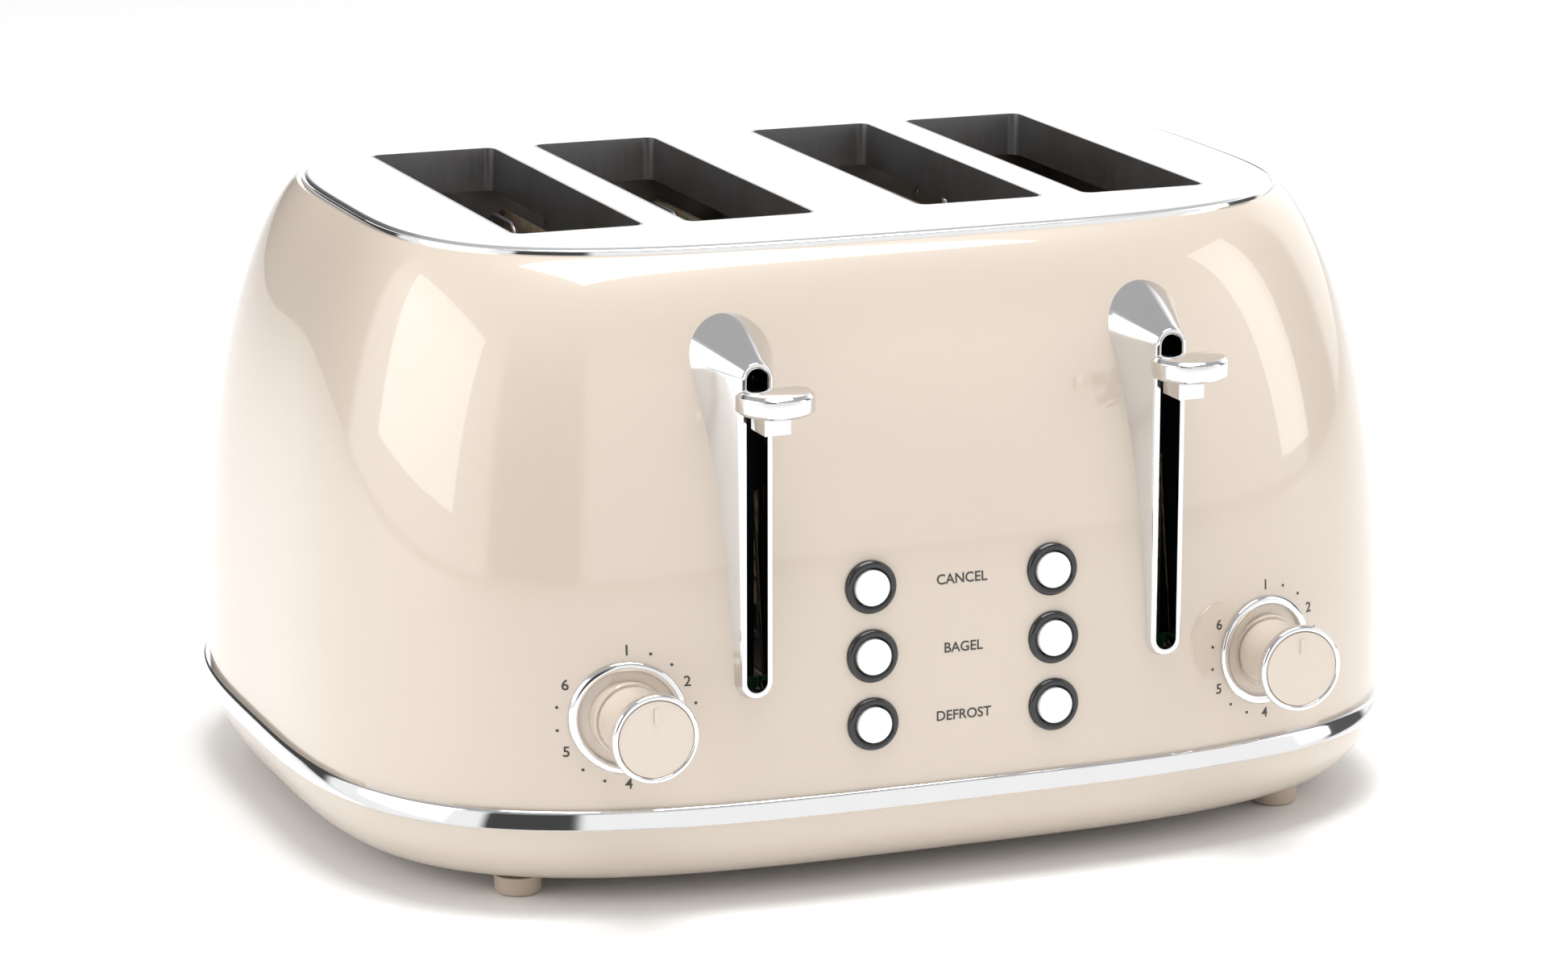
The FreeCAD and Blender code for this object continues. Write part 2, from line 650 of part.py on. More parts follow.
def make_base():
    """The bowl-shaped base tray, with screw bosses and the crumb trays' openings."""
    outside = base_form("base_outside", "0", "0")
    inside = base_form("base_inside", "base_wall", "base_wall")
    solids = [cut("base_bowl", outside, inside)]
    holes = []
    for side, sign in SIDES.items():
        span = tray_span(side, "tray_gap")
        z = ("tray_bottom - tray_gap", "tray_bottom + tray_rim + tray_gap")
        holes.append(
            box(f"tray_mouth_{side}", span, ("body_half_depth - 40", "body_half_depth + 5"), z),
        )
        for edge, low in (("low", f"{span[0]} - 1"), ("high", f"{span[1]} - 3")):
            along = ("-tray_front", "body_half_depth - 40")
            height = ("base_floor + 0.5", "tray_bottom - 0.1")
            solids.append(box(f"tray_runner_{edge}_{side}", (low, f"{low} + 4"), along, height))
        for end, y in BOSSES.items():
            x = f"{sign} * boss_x"
            start = (x, y, "base_floor + 0.5")
            solids.append(
                rod(f"boss_{end}_{side}", "boss_radius", "z", start, "band_bottom - base_floor - 0.5"),
            )
            holes.append(
                rod(f"boss_bore_{end}_{side}", "screw_radius", "z", (x, y, "0"), "band_bottom + 5"),
            )
            foot = (f"{sign} * foot_x", FEET[end], "0")
            holes.append(rod(f"foot_hole_{end}_{side}", "foot_peg", "z", foot, "band_bottom"))
    whole = fuse("base_solid", *solids)
    return label(cut("base_finished", whole, *holes), "base_tray")


BOSSES = {
    "front": "-(chassis_front + chassis_foot / 2 + chassis_steel)",
    "back": "chassis_back + chassis_steel + screw_radius + 1",
}
FEET = {"front": "-foot_y", "back": "foot_y"}


def make_foot(end, side):
    """A moulded foot with a peg that holds it in the base."""
    corners = [
        ("0", "0"), ("foot_radius - 1.4", "0"), ("foot_radius - 0.4", "1"), ("foot_radius", "base_floor"),
        ("foot_peg", "base_floor"), ("foot_peg", "base_floor + base_wall + 1"),
        ("0", "base_floor + base_wall + 1"),
    ]
    body = turned(f"foot_{end}_{side}_body", corners, f"{SIDES[side]} * foot_x", FEET[end], "0")
    return label(body, f"foot_{end}_{side}")


def make_screws():
    """The four screws that hold base and chassis together."""
    parts = []
    for side, sign in SIDES.items():
        for end, y in BOSSES.items():
            x = f"{sign} * boss_x"
            head = rod(
                f"screw_head_{end}_{side}", "screw_head", "z", (x, y, "base_floor - screw_head_rise"),
                "screw_head_rise",
            )
            shank = rod(f"screw_shank_{end}_{side}", "screw_radius", "z", (x, y, "base_floor"),
                        "band_bottom + chassis_steel - base_floor + 1.5")
            parts.append(fuse(f"screw_{end}_{side}", head, shank))
    group = doc.addObject("Part::Compound", "screw_group")
    group.Links = parts
    return label(group, "base_screws")


# ---------------------------------------------------------------------------------------------
# Chassis, heater cards and bread guards
# ---------------------------------------------------------------------------------------------
def guard_spots():
    """Number, side and x of each bread guard's axle."""
    for number, x in SLOTS.items():
        yield number, "left", f"{x} - slot_width / 2 + guard_inset"
        yield number, "right", f"{x} + slot_width / 2 - guard_inset"


def make_chassis(end):
    """A chassis plate: rail slots, axle holes, bottom flange and, in front, the rods' ears."""
    y = "-chassis_front" if end == "front" else "chassis_back"
    near, far = (f"{y} - chassis_steel", y) if end == "front" else (y, f"{y} + chassis_steel")
    foot = (f"{near} - chassis_foot", far) if end == "front" else (near, f"{far} + chassis_foot")
    wide = ("-chassis_half_width", "chassis_half_width")
    bottom = ("band_bottom", "band_bottom + chassis_steel")
    parts = [
        box(f"chassis_{end}_web", wide, (near, far), ("band_bottom", "chassis_top")),
        box(f"chassis_{end}_foot", wide, foot, bottom),
    ]
    holes = []
    for number, x in SLOTS.items():
        span = (f"{x} - rail_slot", f"{x} + rail_slot")
        low = "rail_top - rail_height - lever_travel - 2"
        holes.append(box(f"rail_slot_{end}_{number}", span, (foot[0], foot[1]), (low, "rail_top + 2")))
    for number, hand, x in guard_spots():
        start = (x, f"{near} - 1", "guard_axle_height")
        holes.append(
            rod(
                f"axle_hole_{end}_{number}_{hand}", "guard_axle + guard_clear", "y", start,
                "chassis_steel + 2",
            ),
        )
    for side, sign in SIDES.items():
        bore = (f"{sign} * boss_x", BOSSES[end], "band_bottom - 1")
        holes.append(rod(f"flange_hole_{end}_{side}", "screw_radius", "z", bore, "chassis_steel + 2"))
        if end == "front":
            ear_x = (f"{sign} * rod_x - 14", f"{sign} * rod_x + 14")
            ear_y = ("-rod_y - 7", f"{near}")
            parts.append(
                box(
                    f"rod_ear_top_{side}", ear_x, ear_y, ("chassis_top - chassis_steel", "chassis_top"),
                ),
            )
            parts.append(box(f"rod_ear_low_{side}", ear_x, ear_y, bottom))
            start = (f"{sign} * rod_x", "-rod_y", "band_bottom - 1")
            holes.append(rod(f"rod_hole_{side}", "rod_radius", "z", start, "chassis_top"))
    whole = fuse(f"chassis_{end}_solid", *parts)
    return label(cut(f"chassis_{end}_finished", whole, *holes), f"chassis_plate_{end}")


def make_card(index, x, facing):
    """A mica heater card, hung between the chassis plates beside a slot."""
    low = x if facing > 0 else f"{x} - card_thick"
    body = box(
        f"card_{index}_sheet", (low, f"{low} + card_thick"), ("-chassis_front", "chassis_back"),
        ("card_bottom", "card_top"),
    )
    return label(body, f"heater_card_{index}")


def make_guard(number, hand, x):
    """A wire bread guard: hoops welded to an axle that turns in both chassis plates."""
    name = f"guard_{number}_{hand}"
    body = new_body(name + "_body")
    path = sketch_on(body, name + "_path", "YZ_Plane")
    start = "-hoop_width / 2 - 1.5 * hoop_pitch"
    stop = f"{start} + hoop_width"
    top = "guard_rise"
    bend = "hoop_bend"
    spots = [
        ((start, "0"), (start, f"{top} - {bend}")),
        ((f"{start} + {bend}", top), (f"{stop} - {bend}", top)),
        ((stop, f"{top} - {bend}"), (stop, "0")),
    ]
    lines = []
    for a, b in spots:
        va, vb = (Vector(num(p[0]), num(p[1]), 0) for p in (a, b))
        geo = path.addGeometry(Part.LineSegment(va, vb), False)
        pin(path, geo, 1, *a)
        pin(path, geo, 2, *b)
        lines.append(geo)
    for i, (cx, low_angle) in enumerate(
        ((f"{start} + {bend}", math.pi / 2), (f"{stop} - {bend}", 0.0)),
    ):
        centre = Vector(num(cx), num(f"{top} - {bend}"), 0)
        arc = Part.ArcOfCircle(
            Part.Circle(centre, Vector(0, 0, 1), num(bend)), low_angle, low_angle + math.pi / 2,
        )
        geo = path.addGeometry(arc, False)
        ends = ((lines[0], 2, 2), (lines[1], 1, 1)) if i == 0 else ((lines[1], 2, 2), (lines[2], 1, 1))
        for line, line_end, arc_end in ends:
            constrain(path, None, "Coincident", line, line_end, geo, arc_end)
        constrain(path, bend, "Radius", geo, num(bend))
    section = sketch_on(body, name + "_wire", "XY_Plane")
    circle(section, "guard_wire", "0", start)
    pipe = body.newObject("PartDesign::AdditivePipe", name + "_hoop")
    pipe.Profile = section
    pipe.Spine = (path, [])
    combs(name + "_hoops", pipe, body, "Y_Axis", "3 * hoop_pitch", "4")
    axle = sketch_on(
        body, name + "_axle", "XZ_Plane", "-(chassis_back + chassis_steel + 1.5 - slot_shift)",
    )
    circle(axle, "guard_axle")
    pad(body, axle, "chassis_front + chassis_back + 2 * chassis_steel + 3")
    place(body, x, "slot_shift", "guard_axle_height")
    return label(body, f"bread_{name}")


# ---------------------------------------------------------------------------------------------
# Lift: rods, sliders, bread rails, lever arms and pads, springs
# ---------------------------------------------------------------------------------------------
def make_rod(side):
    """A guide rod between the ears of the front chassis plate."""
    start = (f"{SIDES[side]} * rod_x", "-rod_y", "band_bottom")
    return label(
        rod(f"guide_{side}", "rod_radius", "z", start, "chassis_top - band_bottom + 1"),
        f"guide_rod_{side}",
    )


RAIL_FRONT = "-(chassis_front + chassis_steel + 5.3)"


def make_carriage(side):
    """The moulded slider on its rod, with the lever arm that reaches out through the bezel."""
    sign = SIDES[side]
    x = f"{sign} * lever_x"
    back = f"{RAIL_FRONT} - rail_thick"
    bottom, top = "arm_centre - slider_height / 2", "arm_centre + slider_height / 2"
    edge_in, edge_out = f"{sign} * (lever_x - 5)", f"{sign} * (rod_x + 6)"
    span = (edge_in, edge_out) if side == "right" else (edge_out, edge_in)
    block = box(f"slider_block_{side}", span, ("-slider_front", back), (bottom, top))
    low_arm, high_arm = "arm_centre - arm_height / 2", "arm_centre + arm_height / 2"
    arm = box(
        f"lever_arm_{side}", (f"{x} - arm_thick / 2", f"{x} + arm_thick / 2"),
        ("-arm_tip", "-slider_front + 1"), (low_arm, high_arm),
    )
    hook_in, hook_out = f"{sign} * (rod_x + 4)", f"{sign} * (rod_x + 13)"
    hook_x = (hook_in, hook_out) if side == "right" else (hook_out, hook_in)
    hook = box(f"spring_hook_{side}", hook_x, ("-rod_y - 2", "-rod_y + 2"), (bottom, f"{bottom} + 3"))
    bore = rod(
        f"slider_bore_{side}", "rod_radius + rod_clear", "z",
        (f"{sign} * rod_x", "-rod_y", f"{bottom} - 1"), "slider_height + 2",
    )
    whole = fuse(f"carriage_{side}_solid", block, arm, hook)
    return label(cut(f"carriage_{side}_finished", whole, bore), f"carriage_{side}")


def make_rails(side, numbers):
    """The fork that lifts the bread: two rails on a cross plate, with side tabs."""
    bottom = "rail_top - rail_height"
    xs = [SLOTS[n] for n in numbers]
    cross_x = (f"{xs[0]} - rail_thick / 2", f"{xs[1]} + rail_thick / 2")
    parts = [
        box(
            f"fork_cross_{side}", cross_x, (f"{RAIL_FRONT} - rail_thick", RAIL_FRONT),
            (bottom, "arm_centre + slider_height / 2"),
        ),
    ]
    count = int(num("tab_count"))
    for number in numbers:
        x = SLOTS[number]
        span = (f"{x} - rail_thick / 2", f"{x} + rail_thick / 2")
        parts.append(
            box(
                f"rail_{number}", span,
                (f"{RAIL_FRONT} - rail_thick", "chassis_back + chassis_steel + 5"),
                (bottom, "rail_top"),
            ),
        )
        for i in range(count):
            y = f"(slot_shift + slot_length * ({i} - (tab_count - 1) / 2) / tab_count)"
            tab_x = (f"{x} - tab_reach", f"{x} + tab_reach")
            parts.append(
                box(
                    f"rail_{number}_tab_{i}", tab_x, (f"{y} - 2.5", f"{y} + 2.5"),
                    ("rail_top - 1.2", "rail_top"),
                ),
            )
    return label(fuse(f"rails_{side}_solid", *parts), f"bread_rails_{side}")


def make_pad(side):
    """The bright finger pad: a half-moon slab on a short neck round the arm's end."""
    name = f"lever_pad_{side}"
    x = f"{SIDES[side]} * lever_x"
    body = new_body(name + "_body")
    sketch = sketch_on(body, name + "_outline", "XY_Plane")
    shoulder = "-pad_front + pad_radius"
    loop(sketch, [
        ("-pad_radius", shoulder, "pad_radius", 1),
        ("pad_radius", shoulder),
        ("pad_radius", "-pad_back - 2"),
        ("pad_radius - 2", "-pad_back"),
        ("-pad_radius + 2", "-pad_back"),
        ("-pad_radius", "-pad_back - 2"),
    ])
    slab_feature = pad(body, sketch, "pad_thick")
    doc.recompute()
    rims = [
        f"Edge{i}" for i, edge in enumerate(slab_feature.Shape.Edges, start=1)
        if abs(edge.BoundBox.ZMin - edge.BoundBox.ZMax) < 1e-6
    ]
    edge = body.newObject("PartDesign::Chamfer", name + "_edge")
    edge.Base = (slab_feature, rims)
    bind(edge, "Size", "pad_edge")
    neck = sketch_on(body, name + "_neck", "XY_Plane", "-6")
    rounded_box(neck, ("-3.8", "3.8"), ("-arm_tip - 1.4", "-pad_back + 4"), "1")
    pad(body, neck, "6.1")
    socket = sketch_on(body, name + "_socket", "XZ_Plane", "pad_back - 5")
    low = "arm_centre - arm_height / 2 - pad_bottom"
    high = "arm_centre + arm_height / 2 - pad_bottom"
    loop(
        socket,
        [
            ("-arm_thick / 2", low), ("arm_thick / 2", low), ("arm_thick / 2", high),
            ("-arm_thick / 2", high),
        ],
    )
    pocket(body, socket, "arm_tip - pad_back + 5", reverse=True)
    place(body, x, "0", "pad_bottom")
    return label(body, f"lever_pad_{side}")


def make_spring(side):
    """The lift spring, drawn as the sleeve that its coils fill."""
    x = f"{SIDES[side]} * (rod_x + 10)"
    bottom = "arm_centre - slider_height / 2 + 3"
    outer = rod(
        f"spring_outside_{side}", "spring_radius", "z", (x, "-rod_y", bottom),
        f"chassis_top - chassis_steel - ({bottom})",
    )
    inner = rod(
        f"spring_inside_{side}", "spring_radius - spring_wire", "z", (x, "-rod_y", f"{bottom} - 1"),
        "chassis_top",
    )
    return label(cut(f"spring_{side}_sleeve", outer, inner), f"lift_spring_{side}")


def make_bezel(side):
    """The bright teardrop bezel: a drafted slot surround fitted to the body's curve."""
    sign = SIDES[side]
    x = f"{sign} * lever_x"
    body = new_body(f"bezel_{side}_block")
    front = sketch_on(body, f"bezel_{side}_front", "XZ_Plane", "ring_front")
    stadium(front, "ring_radius", "ring_bottom", "ring_top", x)
    back = sketch_on(body, f"bezel_{side}_back", "XZ_Plane", "ring_front - bezel_depth")
    stadium(back, "(ring_radius + bezel_draft * bezel_depth)", "ring_bottom", "ring_top", x)
    feature = body.newObject("PartDesign::AdditiveLoft", f"bezel_{side}_loft")
    feature.Profile = front
    feature.Sections = [back]
    feature.Ruled = True
    hollow = new_body(f"bezel_{side}_hollow")
    front_in = sketch_on(
        hollow, f"bezel_{side}_hollow_front", "XZ_Plane", "ring_front - bezel_wall * 2.5",
    )
    inner_radius = "(ring_radius + bezel_draft * bezel_wall * 2.5 - bezel_wall)"
    stadium(front_in, inner_radius, "ring_bottom", "ring_top", x)
    back_in = sketch_on(hollow, f"bezel_{side}_hollow_back", "XZ_Plane", "ring_front - bezel_depth - 1")
    stadium(
        back_in, f"({inner_radius} + bezel_draft * (bezel_depth + 1 - bezel_wall * 2.5))",
        "ring_bottom", "ring_top", x,
    )
    feature = hollow.newObject("PartDesign::AdditiveLoft", f"bezel_{side}_hollow_loft")
    feature.Profile = front_in
    feature.Sections = [back_in]
    feature.Ruled = True
    slot = new_body(f"bezel_{side}_slot")
    cutter = sketch_on(slot, f"bezel_{side}_slot_outline", "XZ_Plane", "ring_front - bezel_depth - 2")
    stadium(cutter, "ring_hole", "ring_bottom", "ring_top", x)
    pad(slot, cutter, "bezel_depth + 5")
    skin = cut(f"bezel_{side}_skin", body, hollow, slot)
    sleeve = new_body(f"bezel_{side}_sleeve")
    ring = sketch_on(sleeve, f"bezel_{side}_sleeve_outline", "XZ_Plane", "ring_front - 30")
    stadium(ring, "(ring_hole + 0.7)", "ring_bottom", "ring_top", x)
    pad(sleeve, ring, "29")
    tube = cut(f"bezel_{side}_tube", sleeve, slot)
    fitted = cut(f"bezel_{side}_fitted", skin, outer_form)
    limit = cut(f"bezel_{side}_tube_fitted", tube, cavity_form)
    return label(fuse(f"bezel_{side}_whole", fitted, limit), f"lever_bezel_{side}")


# ---------------------------------------------------------------------------------------------
# Controls: browning knobs, their rings and boards, push buttons and their carrier
# ---------------------------------------------------------------------------------------------
def make_dial_ring(side):
    """The bright ring round a knob, following the body's curve."""
    x = f"{SIDES[side]} * knob_x"
    proud = body_form(f"dial_ring_{side}_form", "-dial_ring_proud")
    outer = rod(
        f"dial_ring_{side}_outer", "dial_ring_outer", "y", (x, "-body_half_depth - 10", "knob_z"), "45",
    )
    inner = rod(
        f"dial_ring_{side}_inner", "dial_ring_inner", "y", (x, "-body_half_depth - 11", "knob_z"), "50",
    )
    tube = common(f"dial_ring_{side}_tube", outer, proud)
    return label(cut(f"dial_ring_{side}_solid", tube, inner, outer_form), f"dial_ring_{side}")


def make_knob(side):
    """A waisted browning knob with its pointer and stem, turning on the pot behind."""
    length = "(knob_front - boss_face - 0.3)"
    stem = "-(boss_face + 0.3 - board_front + board_thick + pot_depth - 2.6)"
    corners = [
        ("0", stem), ("knob_stem", stem), ("knob_stem", "0"), ("knob_neck", "0"),
        ("knob_neck + 0.5", f"{length} * 0.45"),
        ("knob_head", f"{length} - knob_ring_depth"),
        ("knob_face", f"{length} - knob_ring_depth"),
        ("knob_face", f"{length}"), ("0", f"{length}"),
    ]
    knob = turned(
        f"knob_{side}_turned", corners, f"{SIDES[side]} * knob_x", "-boss_face - 0.3", "knob_z",
        "front",
    )
    x = f"{SIDES[side]} * knob_x"
    pointer = box(
        f"knob_{side}_pointer", (f"{x} - 0.6", f"{x} + 0.6"), ("-knob_front - 0.4", "-knob_front + 0.5"),
        ("knob_z + knob_face - 6.4", "knob_z + knob_face - 2"),
    )
    return label(fuse(f"knob_{side}_solid", knob, pointer), f"browning_knob_{side}")


def make_knob_ring(side):
    """The bright ring pressed round the knob's face."""
    corners = [
        ("knob_face", "0"), ("knob_head", "0"), ("knob_ring_radius", "0.8"),
        ("knob_ring_radius", "knob_ring_depth - 0.9"), (
            "knob_ring_radius - 0.6", "knob_ring_depth + 0.2",
        ),
        ("knob_face + 0.3", "knob_ring_depth + 0.2"), ("knob_face", "knob_ring_depth - 0.2"),
    ]
    body = turned(
        f"knob_ring_{side}_body", corners, f"{SIDES[side]} * knob_x", "-knob_front + knob_ring_depth",
        "knob_z", "front",
    )
    return label(body, f"knob_ring_{side}")


def make_magnet(side):
    """The electromagnet that holds the slider down: a coil on an upright core."""
    x = f"{SIDES[side]} * (lever_x - 1)"
    top = "arm_centre - lever_travel - slider_height / 2 - 0.5"
    y = ("-slider_front", "-rod_y + 1")
    core = box(f"magnet_{side}_core", (f"{x} - 3", f"{x} + 3"), y, ("band_bottom + chassis_steel", top))
    coil = box(f"magnet_{side}_coil", (f"{x} - 3.4", f"{x} + 3.4"), (f"{y[0]} - 2.5", f"{y[1]} + 2.5"),
               ("band_bottom + chassis_steel + 3", f"{top} - 4"))
    return label(fuse(f"magnet_{side}_solid", core, coil), f"electromagnet_{side}")


def make_button(row, z, side):
    """A push button with its tail, which presses a switch on the board."""
    face = f"({front_at(z)} + button_proud)"
    tail = f"({face} - board_front - 2.6 - button_travel)"
    corners = [
        ("0", f"-{tail}"), ("2", f"-{tail}"), ("2", f"-({face} - carrier_front + carrier_thick)"),
        ("button_radius", f"-({face} - carrier_front + carrier_thick)"), ("button_radius", "-0.4"),
        ("button_radius - 0.4", "0"), ("0", "0"),
    ]
    body = turned(
        f"button_{row}_{side}_body", corners, f"{SIDES[side]} * button_x", f"-{face}", z, "front",
    )
    return label(body, f"button_{row}_{side}")


def make_button_carrier():
    """The moulding behind the shell whose six collars surround the push buttons."""
    plate = box(
        "carrier_plate", ("-button_x - 9", "button_x + 9"),
        ("-carrier_front", "-carrier_front + carrier_thick"),
        ("button_low - 9.5", "button_low + 2 * button_pitch + 8.6"),
    )
    solids = [plate]
    holes = []
    for side, sign in SIDES.items():
        for row, z in BUTTON_ROWS.items():
            face = f"({front_at(z)} + collar_proud)"
            length = f"({face} - carrier_front + 1)"
            corners = [
                ("0", "0"), ("collar_radius", "0"), ("collar_radius", f"{length} - 1", "1", 1),
                ("collar_radius - 1", length), ("0", length),
            ]
            solids.append(
                turned(
                    f"collar_{row}_{side}", corners, f"{sign} * button_x", "-carrier_front + 1", z,
                    "front",
                ),
            )
            start = (f"{sign} * button_x", "-body_half_depth - 5", z)
            holes.append(
                rod(f"button_bore_{row}_{side}", "button_radius + button_clear", "y", start, "20"),
            )
    whole = fuse("carrier_solid", *solids)
    return label(cut("carrier_finished", whole, *holes), "button_carrier")


def make_control_board():
    """The circuit board: a switch behind each button and a potentiometer behind each knob."""
    back = "-board_front + board_thick"
    middle = box("board_middle", ("-button_x - 9", "button_x + 9"), ("-board_front", back),
                 ("button_low - 9", "button_low + 2 * button_pitch + 8"))
    wings = box(
        "board_wings", ("-knob_x - 10", "knob_x + 10"), ("-board_front", back),
        ("knob_z - 15", "knob_z + 5.5"),
    )
    parts, holes = [middle, wings], []
    for side, sign in SIDES.items():
        knob = f"{sign} * knob_x"
        parts.append(rod(f"pot_{side}", "pot_radius", "y", (knob, back, "knob_z"), "pot_depth"))
        bore = (knob, "-board_front - 1", "knob_z")
        holes.append(
            rod(f"pot_bore_{side}", "knob_stem + stem_clear", "y", bore, "board_thick + pot_depth - 1"),
        )
        for row, z in BUTTON_ROWS.items():
            x = f"{sign} * button_x"
            span = (f"{x} - 3", f"{x} + 3")
            parts.append(
                box(
                    f"switch_{row}_{side}", span, ("-board_front - 2.4", "-board_front"),
                    (f"{z} - 3", f"{z} + 3"),
                ),
            )
    whole = fuse("control_board_solid", *parts)
    return label(cut("control_board_finished", whole, *holes), "control_board")


# ---------------------------------------------------------------------------------------------
# Crumb trays and mains gland
# ---------------------------------------------------------------------------------------------
def make_crumb_tray(side):
    """A shallow steel tray that slides out at the back, ending in a grip fitted to the base."""
    x = tray_span(side)
    name = f"crumb_tray_{side}"
    z = ("tray_bottom", "tray_bottom + tray_rim")
    back = "body_half_depth + 2"
    block = box(name + "_block", x, ("-tray_front", back), z)
    inner = (f"{x[0]} + tray_steel", f"{x[1]} - tray_steel")
    floor = "tray_bottom + tray_steel"
    room = common(
        name + "_room",
        box(
            name + "_well", inner, ("-tray_front + tray_steel", back),
            (floor, "tray_bottom + tray_rim + 1"),
        ),
        slab(
            name + "_well_end", "body_half_width - 8.5", "body_half_depth - 10", floor, "tray_rim + 2",
        ),
    )
    reach = slab(
        name + "_reach", "body_half_width - 1.6 + tray_grip", "body_half_depth - 3.4 + tray_grip",
        "tray_bottom - 1", "tray_rim + 2",
    )
    shaped = common(name + "_shaped", block, reach)
    return label(cut(name + "_solid", shaped, room), name)


def make_gland():
    """The mains gland in the back of the shell, without its lead."""
    corners = [
        ("gland_bore", "-6"), ("gland_radius", "-6"), ("gland_radius", "0"), ("gland_radius + 2.5", "0"),
        ("gland_radius + 2.5", "1.4"), ("gland_radius + 0.6", "2.6"), ("gland_bore", "2.6"),
    ]
    body = turned("gland_body", corners, "0", f"{front_at('gland_height')}", "gland_height", "back")
    return label(body, "mains_gland")


make_shell()
make_rim_ring()
make_top_plate()
make_slot_wells("left", (1, 2))
make_slot_wells("right", (3, 4))
make_band()
make_base()
make_screws()
for chassis_end in ("front", "back"):
    make_chassis(chassis_end)
for pair, (first, second) in {"left": (1, 2), "right": (3, 4)}.items():
    make_rails(pair, (first, second))
    make_carriage(pair)
    make_pad(pair)
    make_rod(pair)
    make_spring(pair)
    make_bezel(pair)
    make_dial_ring(pair)
    make_knob(pair)
    make_knob_ring(pair)
    make_magnet(pair)
    make_crumb_tray(pair)
    for row_name, row_height in BUTTON_ROWS.items():
        make_button(row_name, row_height, pair)
    for foot_end in FEET:
        make_foot(foot_end, pair)
make_button_carrier()
make_control_board()
make_gland()
CARDS = [
    ("-slot_far - slot_width / 2 - card_gap", -1), ("-(slot_far + slot_near) / 2 - card_thick / 2", 1),
    ("-slot_near + slot_width / 2 + card_gap", 1), ("slot_near - slot_width / 2 - card_gap", -1),
    ("(slot_far + slot_near) / 2 - card_thick / 2", 1), ("slot_far + slot_width / 2 + card_gap", 1),
]
for card_index, (card_x, card_facing) in enumerate(CARDS, start=1):
    make_card(card_index, card_x, card_facing)
for guard_number, guard_hand, guard_x in guard_spots():
    make_guard(guard_number, guard_hand, guard_x)

# ---------------------------------------------------------------------------------------------
# Check and write
# ---------------------------------------------------------------------------------------------
doc.recompute()
faults = [o.Name for o in doc.Objects if {"Invalid", "Error"} & set(o.State)]
for piece in PIECES:
    if piece.Shape.isNull() or not piece.Shape.isValid() or not piece.Shape.Solids:
        faults.append(piece.Label)
if faults:
    raise RuntimeError(f"not built: {faults}")
os.makedirs("parts", exist_ok=True)
for piece in PIECES:
    piece.Shape.exportStep(os.path.join("parts", piece.Label + ".step"))
print(len(PIECES), "pieces")
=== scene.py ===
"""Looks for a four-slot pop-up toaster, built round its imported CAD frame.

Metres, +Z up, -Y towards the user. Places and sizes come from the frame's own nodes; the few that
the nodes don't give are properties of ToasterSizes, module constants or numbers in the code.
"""

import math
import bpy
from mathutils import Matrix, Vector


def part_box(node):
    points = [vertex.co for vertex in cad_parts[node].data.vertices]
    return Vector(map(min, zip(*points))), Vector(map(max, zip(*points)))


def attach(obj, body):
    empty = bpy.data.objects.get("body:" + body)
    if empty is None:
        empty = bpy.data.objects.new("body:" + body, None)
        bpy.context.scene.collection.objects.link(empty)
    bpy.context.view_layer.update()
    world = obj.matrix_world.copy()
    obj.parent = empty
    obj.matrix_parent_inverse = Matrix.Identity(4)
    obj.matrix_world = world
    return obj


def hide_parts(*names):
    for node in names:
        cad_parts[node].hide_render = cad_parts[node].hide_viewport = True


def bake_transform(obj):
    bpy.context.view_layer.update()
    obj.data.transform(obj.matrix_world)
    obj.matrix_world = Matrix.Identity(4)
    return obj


bl_info = {
    "name": "Four-slot toaster",
    "version": (1, 0, 0),
    "blender": (4, 5, 0),
    "location": "View3D > Sidebar > Toaster",
    "description": "Builds the visible pieces and finishes of a four-slot toaster",
    "category": "Object",
}

import bmesh
import bpy
from bpy.props import FloatProperty, FloatVectorProperty, IntProperty, PointerProperty
from mathutils import Matrix, Vector

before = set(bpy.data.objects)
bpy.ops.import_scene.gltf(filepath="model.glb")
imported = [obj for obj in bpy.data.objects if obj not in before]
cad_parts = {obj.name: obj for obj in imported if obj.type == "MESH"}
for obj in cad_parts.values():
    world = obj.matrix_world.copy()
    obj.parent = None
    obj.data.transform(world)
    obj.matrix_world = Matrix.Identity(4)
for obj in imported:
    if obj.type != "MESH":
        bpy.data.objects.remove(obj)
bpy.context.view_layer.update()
MM = 0.001
SIDES = ("left", "right")
ROWS = ("low", "middle", "top")


def span(node):
    """Lowest corner, highest corner and middle of a CAD node."""
    low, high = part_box(node)
    return low, high, (low + high) / 2


BAND_LOW, BAND_HIGH, BAND_MID = span("chrome_band")
PLATE_LOW, PLATE_HIGH, _ = span("top_plate")
MIDDLE_Y = BAND_MID.y
HOUSING = "housing"
BOSS_FACE = 129.9 * MM  # these five are measured forward from the body's middle
KNOB_BACK = 130.2 * MM
KNOB_FRONT = 150.5 * MM
PAD_BACK = 143.2 * MM
ARM_TIP = 148 * MM
LEVER_RUN = 84 * MM  # between the arc centres of a bezel
SLOT_WIDTH = 38 * MM
WELL_FLANGE = 4.5 * MM  # how far the wells' flange stands out of the slots
BASE_TUCK = (14.7 * MM, 18.7 * MM)  # how far the base draws in, sideways and in front
TRAY_MOUTH = 0.095  # from the body's middle back to the crumb trays' mouths
DIAL_REACH = 18.6 * MM  # from a knob's axis to the numbers round it


# ---- Sizes and colours ----
def length(name, text, value):
    return FloatProperty(name=name, description=text, default=value, unit="LENGTH", precision=5)


def paint(name, text, value):
    return FloatVectorProperty(
        name=name, description=text, default=value, size=3, subtype="COLOR", min=0, max=1,
    )


